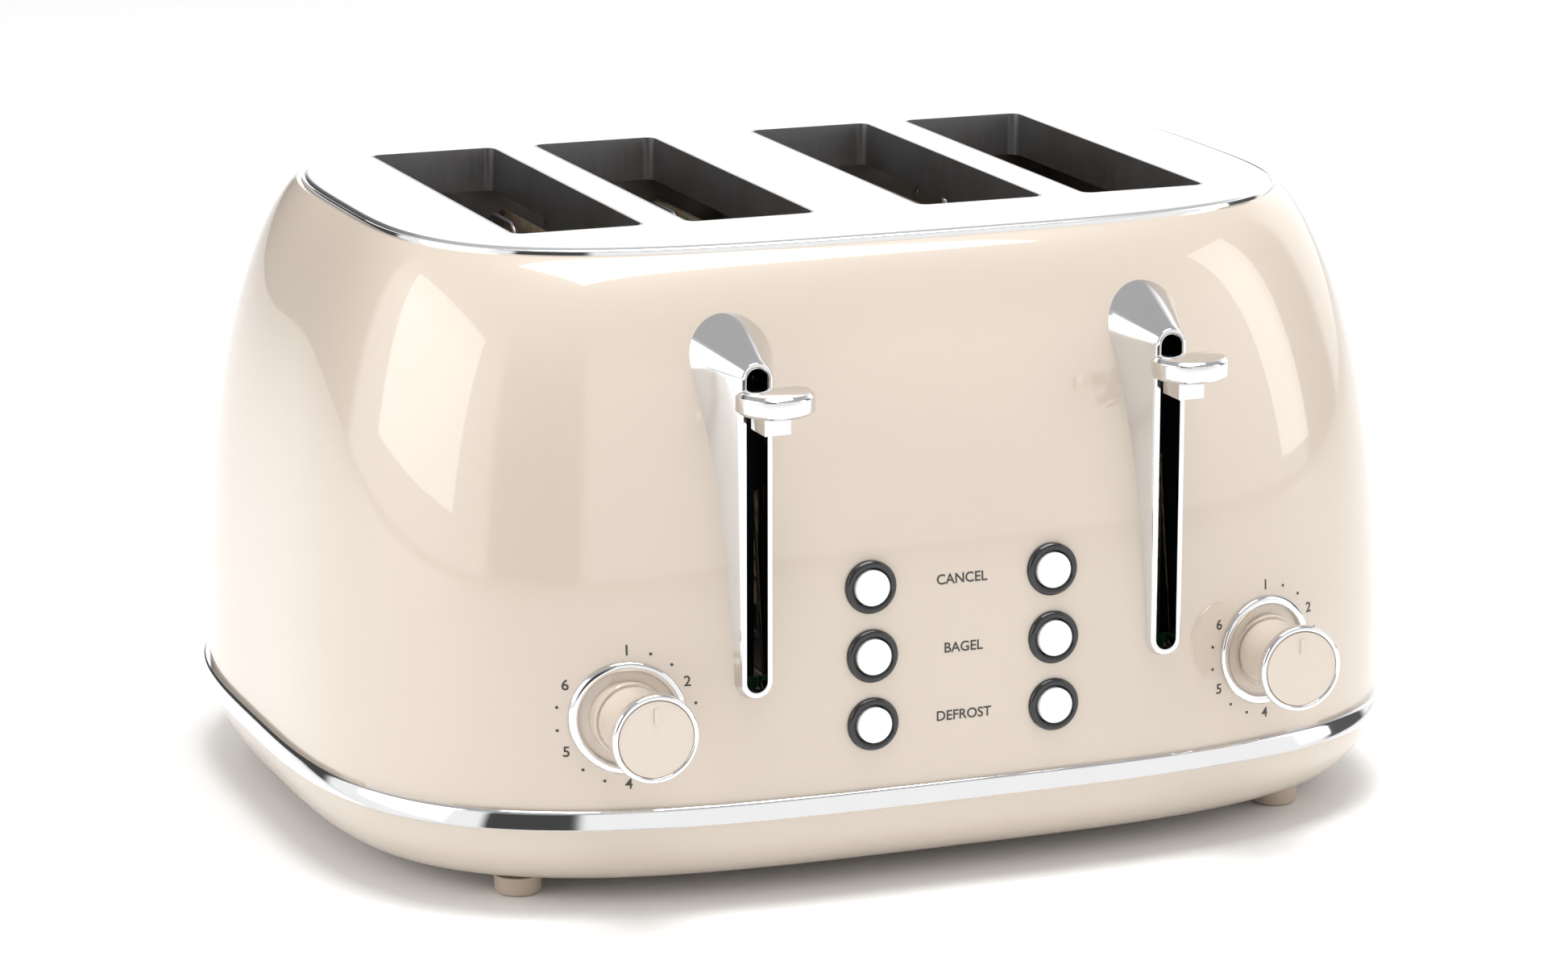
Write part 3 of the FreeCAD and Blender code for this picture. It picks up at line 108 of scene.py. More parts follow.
class ToasterSizes(bpy.types.PropertyGroup):
    """Sizes that give the toaster its form."""

    outline_power: FloatProperty(
        name="Outline power", description="Exponent of the rounded outline", default=3.45,
    )
    swell_power: FloatProperty(
        name="Swell", description="How full the profile is near the band", default=2.48,
    )
    side_shoulder: FloatProperty(
        name="Side shoulder", description="Roundness of the shoulder at the ends", default=1.376,
    )
    front_shoulder: FloatProperty(
        name="Front shoulder", description="Roundness of the shoulder in front", default=1.526,
    )
    band_proud: length("Band", "How far the band stands out of the body", 2.8 * MM)
    crown_spread: length("Crown spread", "From the plate's edge to the crown of the body", 0.6 * MM)
    crown_drop: length("Crown drop", "From the plate's top down to the crown", 0.8 * MM)
    wall: length("Wall", "Thickness of the shell", 1.6 * MM)
    ring_radius: length("Bezel ring", "Outer radius of the bezel's front ring", 4.45 * MM)
    ring_hole: length("Bezel slot", "Half width of the bezel's slot", 3.0 * MM)
    bezel_draft: FloatProperty(name="Bezel draft", description="Widening per unit of depth", default=0.408)
    around: IntProperty(name="Points around", description="Points in one turn of the outline", default=288)


class ToasterColours(bpy.types.PropertyGroup):
    """Colours of the toaster's finishes."""

    enamel: paint("Enamel", "Shell", (0.602, 0.514, 0.428))
    plastic: paint("Plastic", "Base", (0.600, 0.518, 0.435))
    knob: paint("Knob", "Browning knobs", (0.660, 0.570, 0.485))
    bright: paint("Bright metal", "Chrome and polished steel", (0.86, 0.86, 0.865))
    dark: paint("Black", "Collars and inner mouldings", (0.008, 0.008, 0.009))
    button: paint("Button", "Push buttons", (0.86, 0.86, 0.85))
    print: paint("Print", "Numbers, dots and words", (0.03, 0.028, 0.026))
    foot: paint("Foot", "Feet", (0.50, 0.41, 0.33))
    mica: paint("Mica", "Heater cards", (0.40, 0.31, 0.19))
    board: paint("Board", "Circuit board", (0.02, 0.10, 0.04))


def sizes():
    return bpy.context.scene.toaster_sizes


def colours():
    return bpy.context.scene.toaster_colours


# ---- Finishes: node trees written as expressions ----
class Wire:
    """A socket's value in a shader; the usual operators add Math nodes."""

    def __init__(self, tree, socket):
        self.tree, self.socket = tree, socket

    def math(self, operation, *values, clamp=False):
        return self.tree.add("ShaderNodeMath", values, operation=operation, use_clamp=clamp)

    def __add__(self, other):
        return self.math("ADD", self, other)

    __radd__ = __add__

    def __sub__(self, other):
        return self.math("SUBTRACT", self, other)

    def __rsub__(self, other):
        return self.math("SUBTRACT", other, self)

    def __mul__(self, other):
        return self.math("MULTIPLY", self, other)

    __rmul__ = __mul__

    def __pow__(self, other):
        return self.math("POWER", self, other)

    def clamped(self):
        return self.math("ADD", self, 0.0, clamp=True)


class Tree:
    """A node tree with one method that adds any node."""

    def __init__(self, nodes, links):
        self.nodes, self.links = nodes, links

    def join(self, value, socket):
        if isinstance(value, Wire):
            self.links.new(value.socket, socket)
        elif value is not None:
            socket.default_value = value

    def add(self, kind, values=(), out=0, **settings):
        """Adds a node: settings first, then values or links by place or by name."""
        node = self.nodes.new(kind)
        for key, value in settings.items():
            if key == "stops":
                ramp = node.color_ramp.elements
                for i, (place, colour) in enumerate(value):
                    stop = ramp[i] if i < 2 else ramp.new(1.0)
                    stop.position, stop.color = place, (*colour, 1)
            else:
                setattr(node, key, value)
        named = values.items() if isinstance(values, dict) else enumerate(values)
        for key, value in named:
            self.join(value, node.inputs[key])
        return Wire(self, node.outputs[out]) if len(node.outputs) else None

    def mix(self, share, one, other):
        """A colour between two others."""
        return self.add("ShaderNodeMix", {0: share, 6: one, 7: other}, out=2, data_type="RGBA")

    def noise(self, vector, scale, detail=3.0, roughness=0.5):
        return self.add(
            "ShaderNodeTexNoise",
            {"Vector": vector, "Scale": scale, "Detail": detail, "Roughness": roughness},
        )

    def bump(self, height, strength, distance):
        return self.add("ShaderNodeBump", {"Height": height, "Strength": strength, "Distance": distance})

    def place(self, stretch=(1, 1, 1)):
        """Object coordinates, stretched."""
        own = self.add("ShaderNodeTexCoord", out=3)
        return self.add("ShaderNodeMapping", {"Vector": own, "Scale": stretch})


FINISHES = {}


def finish(name, build):
    """A material made once by build(tree), which returns the Principled shader's inputs."""
    if name not in FINISHES:
        material = bpy.data.materials.new(name)
        material.use_nodes = True
        material.node_tree.nodes.clear()
        tree = Tree(material.node_tree.nodes, material.node_tree.links)
        shader = tree.add("ShaderNodeBsdfPrincipled", build(tree))
        tree.add("ShaderNodeOutputMaterial", {"Surface": shader})
        FINISHES[name] = material
    return FINISHES[name]


def look(name):
    """Makes build(tree) into a function that gives its material."""
    return lambda build: lambda: finish(name, build)


def rgba(colour, gain=1.0):
    return (*[min(1.0, c * gain) for c in colour], 1.0)


def glossy_coat(tree, colour, speckle, peel, rough):
    """Lacquer over a colour: faint mottling, orange peel and a hard clear coat."""
    where = tree.place()
    cloud = tree.noise(where, 22.0, 4.0)
    grain = tree.noise(where, 2600.0, 2.0)
    wave = tree.noise(where, 210.0, 2.0)
    colour_now = tree.mix(cloud, rgba(colour, 1 - speckle), rgba(colour, 1 + speckle))
    return {
        "Base Color": colour_now,
        "Roughness": rough + 0.08 * cloud + 0.03 * grain,
        "Normal": tree.bump(wave + 0.15 * grain, peel, 0.00002),
        "Coat Weight": 0.9,
        "Coat Roughness": 0.035,
        "Coat IOR": 1.7,
        "IOR": 1.5,
    }


@look("cream_enamel_look")
def enamel(tree):
    return glossy_coat(tree, colours().enamel, 0.012, 0.25, 0.30)


@look("cream_plastic_look")
def base_plastic(tree):
    return glossy_coat(tree, colours().plastic, 0.02, 0.5, 0.36)


@look("cream_knob_look")
def knob_plastic(tree):
    return glossy_coat(tree, colours().knob, 0.02, 0.35, 0.32)


@look("chrome_look")
def chrome(tree):
    """Bright plating: very smooth, with faint wiping marks and specks."""
    where = tree.place()
    smear = tree.noise(where, 60.0, 5.0, 0.65)
    fine = tree.noise(tree.place((1, 1, 6)), 900.0, 2.0)
    return {
        "Base Color": tree.mix(smear, rgba(colours().bright, 0.84), rgba(colours().bright, 0.92)),
        "Metallic": 1.0,
        "Roughness": 0.035 + 0.06 * smear**2 + 0.02 * fine,
        "Normal": tree.bump(fine, 0.05, 0.00001),
    }


@look("polished_steel_look")
def polished_steel(tree):
    """The top plate: bright steel with a fine grain along X."""
    along = tree.noise(tree.place((0.02, 1, 1)), 2800.0, 3.0)
    cloud = tree.noise(tree.place(), 14.0, 3.0)
    return {
        "Base Color": tree.mix(cloud, rgba(colours().bright, 0.98), rgba(colours().bright, 1.05)),
        "Metallic": 1.0,
        "Roughness": 0.17 + 0.07 * along + 0.04 * cloud,
        "Normal": tree.bump(along, 0.06, 0.00002),
    }


@look("plain_steel_look")
def plain_steel(tree):
    """Inner sheet steel: rolled grain, grey, with heat tint in patches."""
    rolled = tree.noise(tree.place((1, 1, 0.03)), 1500.0, 3.0)
    cloud = tree.noise(tree.place(), 30.0, 5.0, 0.6)
    tint = tree.mix(((cloud - 0.45) * 3).clamped(), (0.40, 0.40, 0.41, 1), (0.30, 0.26, 0.22, 1))
    return {
        "Base Color": tint,
        "Metallic": 1.0,
        "Roughness": 0.26 + 0.16 * rolled,
        "Normal": tree.bump(rolled, 0.1, 0.00003),
    }


@look("black_gloss_look")
def black_gloss(tree):
    dust = tree.noise(tree.place(), 500.0, 4.0)
    return {
        "Base Color": tree.mix(dust, rgba(colours().dark), rgba(colours().dark, 2.0)),
        "Roughness": 0.12 + 0.10 * dust,
        "Normal": tree.bump(dust, 0.08, 0.00002),
        "Coat Weight": 0.3,
        "Coat Roughness": 0.03,
    }


@look("black_moulding_look")
def black_moulding(tree):
    grain = tree.noise(tree.place(), 1800.0, 3.0)
    return {
        "Base Color": tree.mix(grain, (0.012, 0.012, 0.012, 1), (0.03, 0.03, 0.03, 1)),
        "Roughness": 0.42 + 0.2 * grain,
        "Normal": tree.bump(grain, 0.35, 0.00005),
    }


@look("button_look")
def button_face(tree):
    cloud = tree.noise(tree.place(), 300.0, 3.0)
    return {
        "Base Color": tree.mix(cloud, rgba(colours().button, 0.96), rgba(colours().button, 1.04)),
        "Roughness": 0.20 + 0.08 * cloud,
        "Normal": tree.bump(cloud, 0.06, 0.00002),
        "Coat Weight": 0.5,
        "Coat Roughness": 0.05,
    }


@look("print_look")
def print_ink(tree):
    edge = tree.noise(tree.place(), 4000.0, 2.0)
    return {
        "Base Color": tree.mix(edge, rgba(colours().print), rgba(colours().print, 1.8)),
        "Roughness": 0.35 + 0.15 * edge,
    }


@look("foot_look")
def foot_rubber(tree):
    grain = tree.noise(tree.place(), 1400.0, 4.0)
    worn = tree.noise(tree.place(), 120.0, 3.0)
    return {
        "Base Color": tree.mix(worn, rgba(colours().foot, 0.88), rgba(colours().foot, 1.08)),
        "Roughness": 0.5 + 0.2 * grain,
        "Normal": tree.bump(grain, 0.4, 0.00008),
    }


@look("mica_look")
def mica(tree):
    flakes = tree.add("ShaderNodeTexVoronoi", {"Vector": tree.place((1, 1, 0.5)), "Scale": 260.0}, out=1)
    streak = tree.noise(tree.place((1, 0.2, 1)), 90.0, 5.0)
    flake_tint = tree.mix(0.25, rgba(colours().mica), flakes)
    return {
        "Base Color": tree.mix(streak, flake_tint, rgba(colours().mica, 1.25)),
        "Roughness": 0.34 + 0.3 * streak,
        "Normal": tree.bump(streak, 0.3, 0.00008),
    }


@look("heating_ribbon_look")
def ribbon(tree):
    scale_mark = tree.noise(tree.place(), 400.0, 4.0)
    return {
        "Base Color": tree.mix(scale_mark, (0.16, 0.13, 0.12, 1), (0.34, 0.30, 0.28, 1)),
        "Metallic": 1.0,
        "Roughness": 0.38 + 0.2 * scale_mark,
    }


@look("board_look")
def board(tree):
    tracks = tree.add("ShaderNodeTexBrick", {
        "Vector": tree.place(), "Scale": 130.0, "Mortar Size": 0.03,
        "Color1": rgba(colours().board), "Color2": rgba(colours().board, 1.5),
        "Mortar": rgba(colours().board, 3.0),
    })
    cloud = tree.noise(tree.place(), 200.0, 3.0)
    return {
        "Base Color": tracks,
        "Roughness": 0.3 + 0.2 * cloud,
        "Normal": tree.bump(cloud, 0.1, 0.00005),
    }


@look("copper_look")
def copper(tree):
    turns = tree.noise(tree.place((0.05, 0.05, 1)), 2600.0, 2.0)
    return {
        "Base Color": tree.mix(turns, (0.30, 0.09, 0.03, 1), (0.62, 0.25, 0.10, 1)),
        "Metallic": 1.0,
        "Roughness": 0.25 + 0.2 * turns,
        "Normal": tree.bump(turns, 0.6, 0.0001),
    }


# ---- The toaster's form as rules ----
def half_sizes(z):
    """Half width and half depth of the body at height z."""
    s = sizes()
    low, high = BAND_HIGH.z, PLATE_HIGH.z - s.crown_drop
    crown = [(PLATE_HIGH[i] - PLATE_LOW[i]) / 2 + s.crown_spread for i in (0, 1)]
    foot = [(BAND_HIGH[i] - BAND_LOW[i]) / 2 - s.band_proud for i in (0, 1)]
    share = min(max((z - low) / (high - low), 0.0), 1.0)
    fullness = 1 - share**s.swell_power
    powers = (s.side_shoulder, s.front_shoulder)
    return [c + (f - c) * fullness ** (1 / p) for c, f, p in zip(crown, foot, powers)]


def front_y(x, z, proud=0.0):
    """y of the body's front surface at (x, z)."""
    a, b = (h + proud for h in half_sizes(z))
    n = sizes().outline_power
    return MIDDLE_Y - b * max(1 - abs(x / a) ** n, 0.0) ** (1 / n)


def surface_normal(p):
    """Outward direction of the body's surface at a point."""
    n, step = sizes().outline_power, 1e-5

    def level(x, y, z):
        a, b = half_sizes(z)
        return abs(x / a) ** n + abs((y - MIDDLE_Y) / b) ** n

    x, y, z = p
    z = min(z, PLATE_HIGH.z - sizes().crown_drop - 2 * step)
    slope = [level(x + step, y, z) - level(x - step, y, z), level(x, y + step, z) - level(x, y - step, z),
             level(x, y, z + step) - level(x, y, z - step)]
    return Vector(slope).normalized()


def ring(a, b, z, count=None):
    """Points of the rounded outline with half sizes a and b at height z."""
    n, points = sizes().outline_power, []
    count = count or sizes().around
    for i in range(count):
        t = 2 * math.pi * i / count
        c, s = math.cos(t), math.sin(t)
        reach = (abs(c) ** n + abs(s) ** n) ** (-1 / n)
        points.append(Vector((a * c * reach, MIDDLE_Y + b * s * reach, z)))
    return points


# ---- Mesh making ----
def skin(mesh, rings, closed=False, caps=(False, False)):
    """Adds faces between rings of equal count to a bmesh."""
    rows = [[mesh.verts.new(p) for p in points] for points in rings]
    pairs = list(zip(rows, rows[1:])) + ([(rows[-1], rows[0])] if closed else [])
    for low, high in pairs:
        for i in range(len(low)):
            j = (i + 1) % len(low)
            mesh.faces.new((low[i], low[j], high[j], high[i]))
    for wanted, row in zip(caps, (rows[0], rows[-1])):
        if wanted:
            mesh.faces.new(row)
    return rows


def new_object(name, data):
    obj = bpy.data.objects.new(name, data)
    bpy.context.scene.collection.objects.link(obj)
    return obj


def to_data(mesh, name):
    """Mesh data of a bmesh, with its faces pointing outwards."""
    bmesh.ops.recalc_face_normals(mesh, faces=mesh.faces)
    data = bpy.data.meshes.new(name)
    mesh.to_mesh(data)
    mesh.free()
    return data


def piece(name, fill, material, body=HOUSING, stands_for=(), sharp=35, bevel=None):
    """A finished object: fill(bmesh) makes it; it rides on a body and may stand for CAD nodes."""
    mesh = bmesh.new()
    fill(mesh)
    bmesh.ops.remove_doubles(mesh, verts=mesh.verts, dist=1e-7)
    obj = new_object(name, to_data(mesh, name))
    obj.data.materials.append(material)
    return hand_over(obj, body, stands_for, sharp, bevel)


def hand_over(obj, body, stands_for, sharp=35, bevel=None):
    """Smooths an object, and tells the frame what it rides on and stands for."""
    if bevel:
        edge = obj.modifiers.new("edge", "BEVEL")
        edge.width, edge.segments, edge.limit_method, edge.angle_limit = bevel, 3, "ANGLE", math.radians(35)
        bake(obj)
    obj.data.polygons.foreach_set("use_smooth", [True] * len(obj.data.polygons))
    if sharp:
        obj.data.set_sharp_from_angle(angle=math.radians(sharp))
    if body:
        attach(obj, body)
    if stands_for:
        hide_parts(*stands_for)
    return obj


def bake(obj):
    """Turns an object's modifiers into its plain mesh."""
    graph = bpy.context.evaluated_depsgraph_get()
    graph.update()
    data = bpy.data.meshes.new_from_object(obj.evaluated_get(graph), depsgraph=graph)
    obj.modifiers.clear()
    old, obj.data = obj.data, data
    data.name = old.name
    bpy.data.meshes.remove(old)
    return obj


def carve(obj, fill):
    """Takes the solids made by fill(bmesh) out of an object."""
    mesh = bmesh.new()
    fill(mesh)
    data = to_data(mesh, "cutter")
    tool = new_object("cutter", data)
    step = obj.modifiers.new("carve", "BOOLEAN")
    step.operation, step.solver, step.object = "DIFFERENCE", "EXACT", tool
    bake(obj)
    bpy.data.objects.remove(tool)
    bpy.data.meshes.remove(data)
    return obj


def stadium(radius, low, high, count=24):
    """(x, z) points round an upright slot: two half circles and straight sides."""
    points = []
    for centre, start in ((high, 0.0), (low, math.pi)):
        for i in range(count + 1):
            t = start + math.pi * i / count
            points.append((radius * math.cos(t), centre + radius * math.sin(t)))
    return points


def to_front(u, v, w):
    """Stands an outline up, facing the front."""
    return Vector((u, w, v))


def to_top(u, v, w):
    """Lays an outline flat."""
    return Vector((u, v, w))


def moved(outline, x, y=0.0):
    return [(x + u, y + v) for u, v in outline]


def prism(mesh, outline, low, high, place):
    """A closed prism: outline points go through place(u, v, w) with w low and high."""
    rings = [[place(u, v, w) for u, v in outline] for w in (low, high)]
    skin(mesh, rings, caps=(True, True))


def disc(radius, count=48):
    turns = [2 * math.pi * i / count for i in range(count)]
    return [(radius * math.cos(t), radius * math.sin(t)) for t in turns]


def lathe(mesh, profile, centre, axis="front", count=96, closed=False):
    """Turns (radius, distance) points about an axis; radius 0 ends close the form."""
    middle = Vector(centre)
    rings = []
    for radius, along in profile:
        points = []
        for u, v in disc(max(radius, 1e-6), count):
            step = {
                "front": Vector((u, -along, v)), "up": Vector((u, v, along)), "back": Vector((u, along, v)),
            }[axis]
            points.append(middle + step)
        rings.append(points)
    skin(mesh, rings, closed=closed, caps=(not closed, not closed))


def arc(centre, radius, start, stop, count=8):
    """(r, s) points of an arc, angles in degrees."""
    turns = [math.radians(start + (stop - start) * i / count) for i in range(count + 1)]
    return [(centre[0] + radius * math.cos(t), centre[1] + radius * math.sin(t)) for t in turns]


def box_solid(mesh, low, high):
    outline = [(low[0], low[1]), (high[0], low[1]), (high[0], high[1]), (low[0], high[1])]
    prism(mesh, outline, low[2], high[2], to_top)


def rounded(low, high, corner, count=8):
    """(x, y) points of a rectangle with round corners."""
    points = []
    for cx, cy, start in (
        (high[0], high[1], 0), (low[0], high[1], 90), (low[0], low[1], 180), (high[0], low[1], 270),
    ):
        sx = -1 if cx == high[0] else 1
        sy = -1 if cy == high[1] else 1
        points += arc((cx + sx * corner, cy + sy * corner), corner, start, start + 90, count)
    return points


def lever_spot(side):
    """x of a lever, and the low and high arc centres of its bezel."""
    low, _, mid = span(f"lever_bezel_{side}")
    lower = low.z + sizes().ring_radius
    return mid.x, lower, lower + LEVER_RUN


# ---- Operators: one for each piece or group of like pieces ----
class Maker(bpy.types.Operator):
    """Base of the piece operators."""

    bl_options = {"REGISTER", "UNDO"}

    def execute(self, context):
        self.make()
        return {"FINISHED"}


class TOASTER_OT_shell(Maker):
    """Enamelled shell with its openings and knob bosses"""

    bl_idname = "toaster.shell"
    bl_label = "Shell"

    def make(self):
        s = sizes()
        bottom, top = BAND_HIGH.z, PLATE_HIGH.z - 1.7 * MM
        reach = PLATE_HIGH.z - s.crown_drop - bottom
        levels = [bottom + reach * (1 - (1 - i / 64) ** 1.6) for i in range(65)]
        levels = [z for z in levels if z < top - 0.2 * MM] + [top]
        seat = [(PLATE_HIGH[i] - PLATE_LOW[i]) / 2 + 0.8 * MM for i in (0, 1)]

        def walls(mesh):
            rings = [ring(*half_sizes(z), z) for z in levels]
            rings += [ring(*seat, top), ring(*seat, top - 1.4 * MM)]
            mouth = [h - 1.1 * MM for h in seat]
            rings += [ring(*mouth, top - 1.4 * MM), ring(*mouth, top - 4 * MM)]
            for z in reversed(levels[:-6:3]):
                rings.append(ring(*[h - s.wall for h in half_sizes(z)], z))
            skin(mesh, rings, closed=True)

        shell = piece("shell", walls, enamel(), body=None, sharp=None)

        def openings(mesh):
            for side in SIDES:
                x, low, high = lever_spot(side)
                prism(mesh, moved(stadium(s.ring_hole + 0.9 * MM, low, high), x),
                      front_y(x, low) - 0.02, MIDDLE_Y - 0.08, to_front)
                knob = span(f"browning_knob_{side}")[2]
                rounds = [(knob.x, knob.z, 3.6 * MM)]
                for row in ROWS:
                    mid = span(f"button_{row}_{side}")[2]
                    rounds.append((mid.x, mid.z, 7.4 * MM))
                for cx, cz, radius in rounds:
                    prism(mesh, moved(disc(radius), cx, cz), front_y(cx, cz) - 0.01,
                          front_y(cx, cz) + 0.02, to_front)
            gland = span("mains_gland")[2]
            prism(mesh, moved(disc(5.05 * MM), gland.x, gland.z), gland.y - 0.02, gland.y + 0.02,
                  to_front)

        carve(shell, openings)
        self.true_normals(shell)

        def bosses(mesh):
            for side in SIDES:
                knob = span(f"browning_knob_{side}")[2]
                front = MIDDLE_Y - BOSS_FACE
                profile = [
                    (3.6 * MM, -5.5 * MM), (10.3 * MM, -5.5 * MM), (10.3 * MM, -0.3 * MM), (10.0 * MM, 0),
                    (3.6 * MM, 0),
                ]
                lathe(mesh, profile, (knob.x, front, knob.z), closed=True)

        piece("knob_bosses", bosses, enamel())
        hand_over(shell, HOUSING, ("body_shell",), sharp=None)

    def true_normals(self, shell):
        """Gives every corner on the outer surface the rule's own direction."""
        data = shell.data
        data.polygons.foreach_set("use_smooth", [True] * len(data.polygons))
        n = sizes().outline_power
        on_skin = []
        for vertex in data.vertices:
            x, y, z = vertex.co
            a, b = half_sizes(z)
            level = (abs(x / a) ** n + abs((y - MIDDLE_Y) / b) ** n) ** (1 / n)
            on_skin.append(abs(level - 1) * b < 0.12 * MM and z < PLATE_HIGH.z - 1.6 * MM)
        ways = [surface_normal(v.co) if keep else None for v, keep in zip(data.vertices, on_skin)]
        normals = [None] * len(data.loops)
        for face in data.polygons:
            outer = all(on_skin[v] for v in face.vertices)
            for loop in face.loop_indices:
                vertex = data.loops[loop].vertex_index
                way = ways[vertex] if outer and ways[vertex].dot(face.normal) > 0.5 else face.normal
                normals[loop] = tuple(way)
        data.normals_split_custom_set(normals)


class TOASTER_OT_top(Maker):
    """Polished top plate with its bevelled edge, and the bright ring round it"""

    bl_idname = "toaster.top"
    bl_label = "Top plate and ring"

    def make(self):
        half = [(PLATE_HIGH[i] - PLATE_LOW[i]) / 2 for i in (0, 1)]
        top, low = PLATE_HIGH.z, PLATE_LOW.z

        def plate(mesh):
            steps = [(0, low), (0, low + 0.9 * MM), (0.25 * MM, top - 0.85 * MM), (0.7 * MM, top - 0.5 * MM),
                     (1.4 * MM, top - 0.2 * MM), (2.1 * MM, top - 0.04 * MM), (2.8 * MM, top)]
            skin(mesh, [ring(half[0] - i, half[1] - i, z) for i, z in steps], caps=(True, True))

        made = piece("top_plate_polished", plate, polished_steel(), body=None, sharp=None)
        holes = self.slots()
        carve(made, lambda mesh: [prism(mesh, rounded(a, b, 3.8 * MM), low - 0.01, top + 0.01,
                                        to_top) for a, b in holes])
        hand_over(made, HOUSING, ("top_plate",), sharp=20)
        lip_low, lip_high, _ = span("rim_ring")

        def rim(mesh):
            out = [h + 0.75 * MM for h in half]
            steps = [(0.0, lip_low.z), (0.0, lip_high.z - 0.25 * MM), (0.1 * MM, lip_high.z - 0.08 * MM),
                     (0.3 * MM, lip_high.z), (0.55 * MM, lip_high.z - 0.06 * MM),
                     (0.7 * MM, lip_high.z - 0.3 * MM), (0.7 * MM, lip_low.z + 1 * MM),
                     (4.1 * MM, lip_low.z + 1 * MM), (4.1 * MM, lip_low.z)]
            skin(mesh, [ring(out[0] - i, out[1] - i, z) for i, z in steps], closed=True)

        piece("rim_ring_bright", rim, chrome(), stands_for=("rim_ring",))

    def slots(self):
        """The four slot openings, from the wells' inner walls."""
        spots = []
        for side in SIDES:
            low, high, _ = span(f"slot_wells_{side}")
            wall = 0.85 * MM
            for x in (low.x + WELL_FLANGE, high.x - WELL_FLANGE - SLOT_WIDTH):
                spots.append(((x - wall, low.y + WELL_FLANGE - wall),
                              (x + SLOT_WIDTH + wall, high.y - WELL_FLANGE + wall)))
        return spots


class TOASTER_OT_band(Maker):
    """Chrome band between shell and base"""

    bl_idname = "toaster.band"
    bl_label = "Band"

    def make(self):
        half = [(BAND_HIGH[i] - BAND_LOW[i]) / 2 for i in (0, 1)]
        low, high = BAND_LOW.z, BAND_HIGH.z

        def fill(mesh):
            face = []
            for i in range(9):
                t = i / 8
                face.append(((0.75 * t + 0.4 * t**2) * MM, low + 0.35 * MM + (high - low - 0.85 * MM) * t))
            corners = [(0.2 * MM, low + 0.06 * MM), *face, (1.35 * MM, high - 0.2 * MM), (1.65 * MM, high),
                       (5.4 * MM, high), (5.4 * MM, low), (0.45 * MM, low)]
            skin(mesh, [ring(half[0] - i, half[1] - i, z) for i, z in corners], closed=True)

        piece("band_bright", fill, chrome(), stands_for=("chrome_band",), sharp=30)


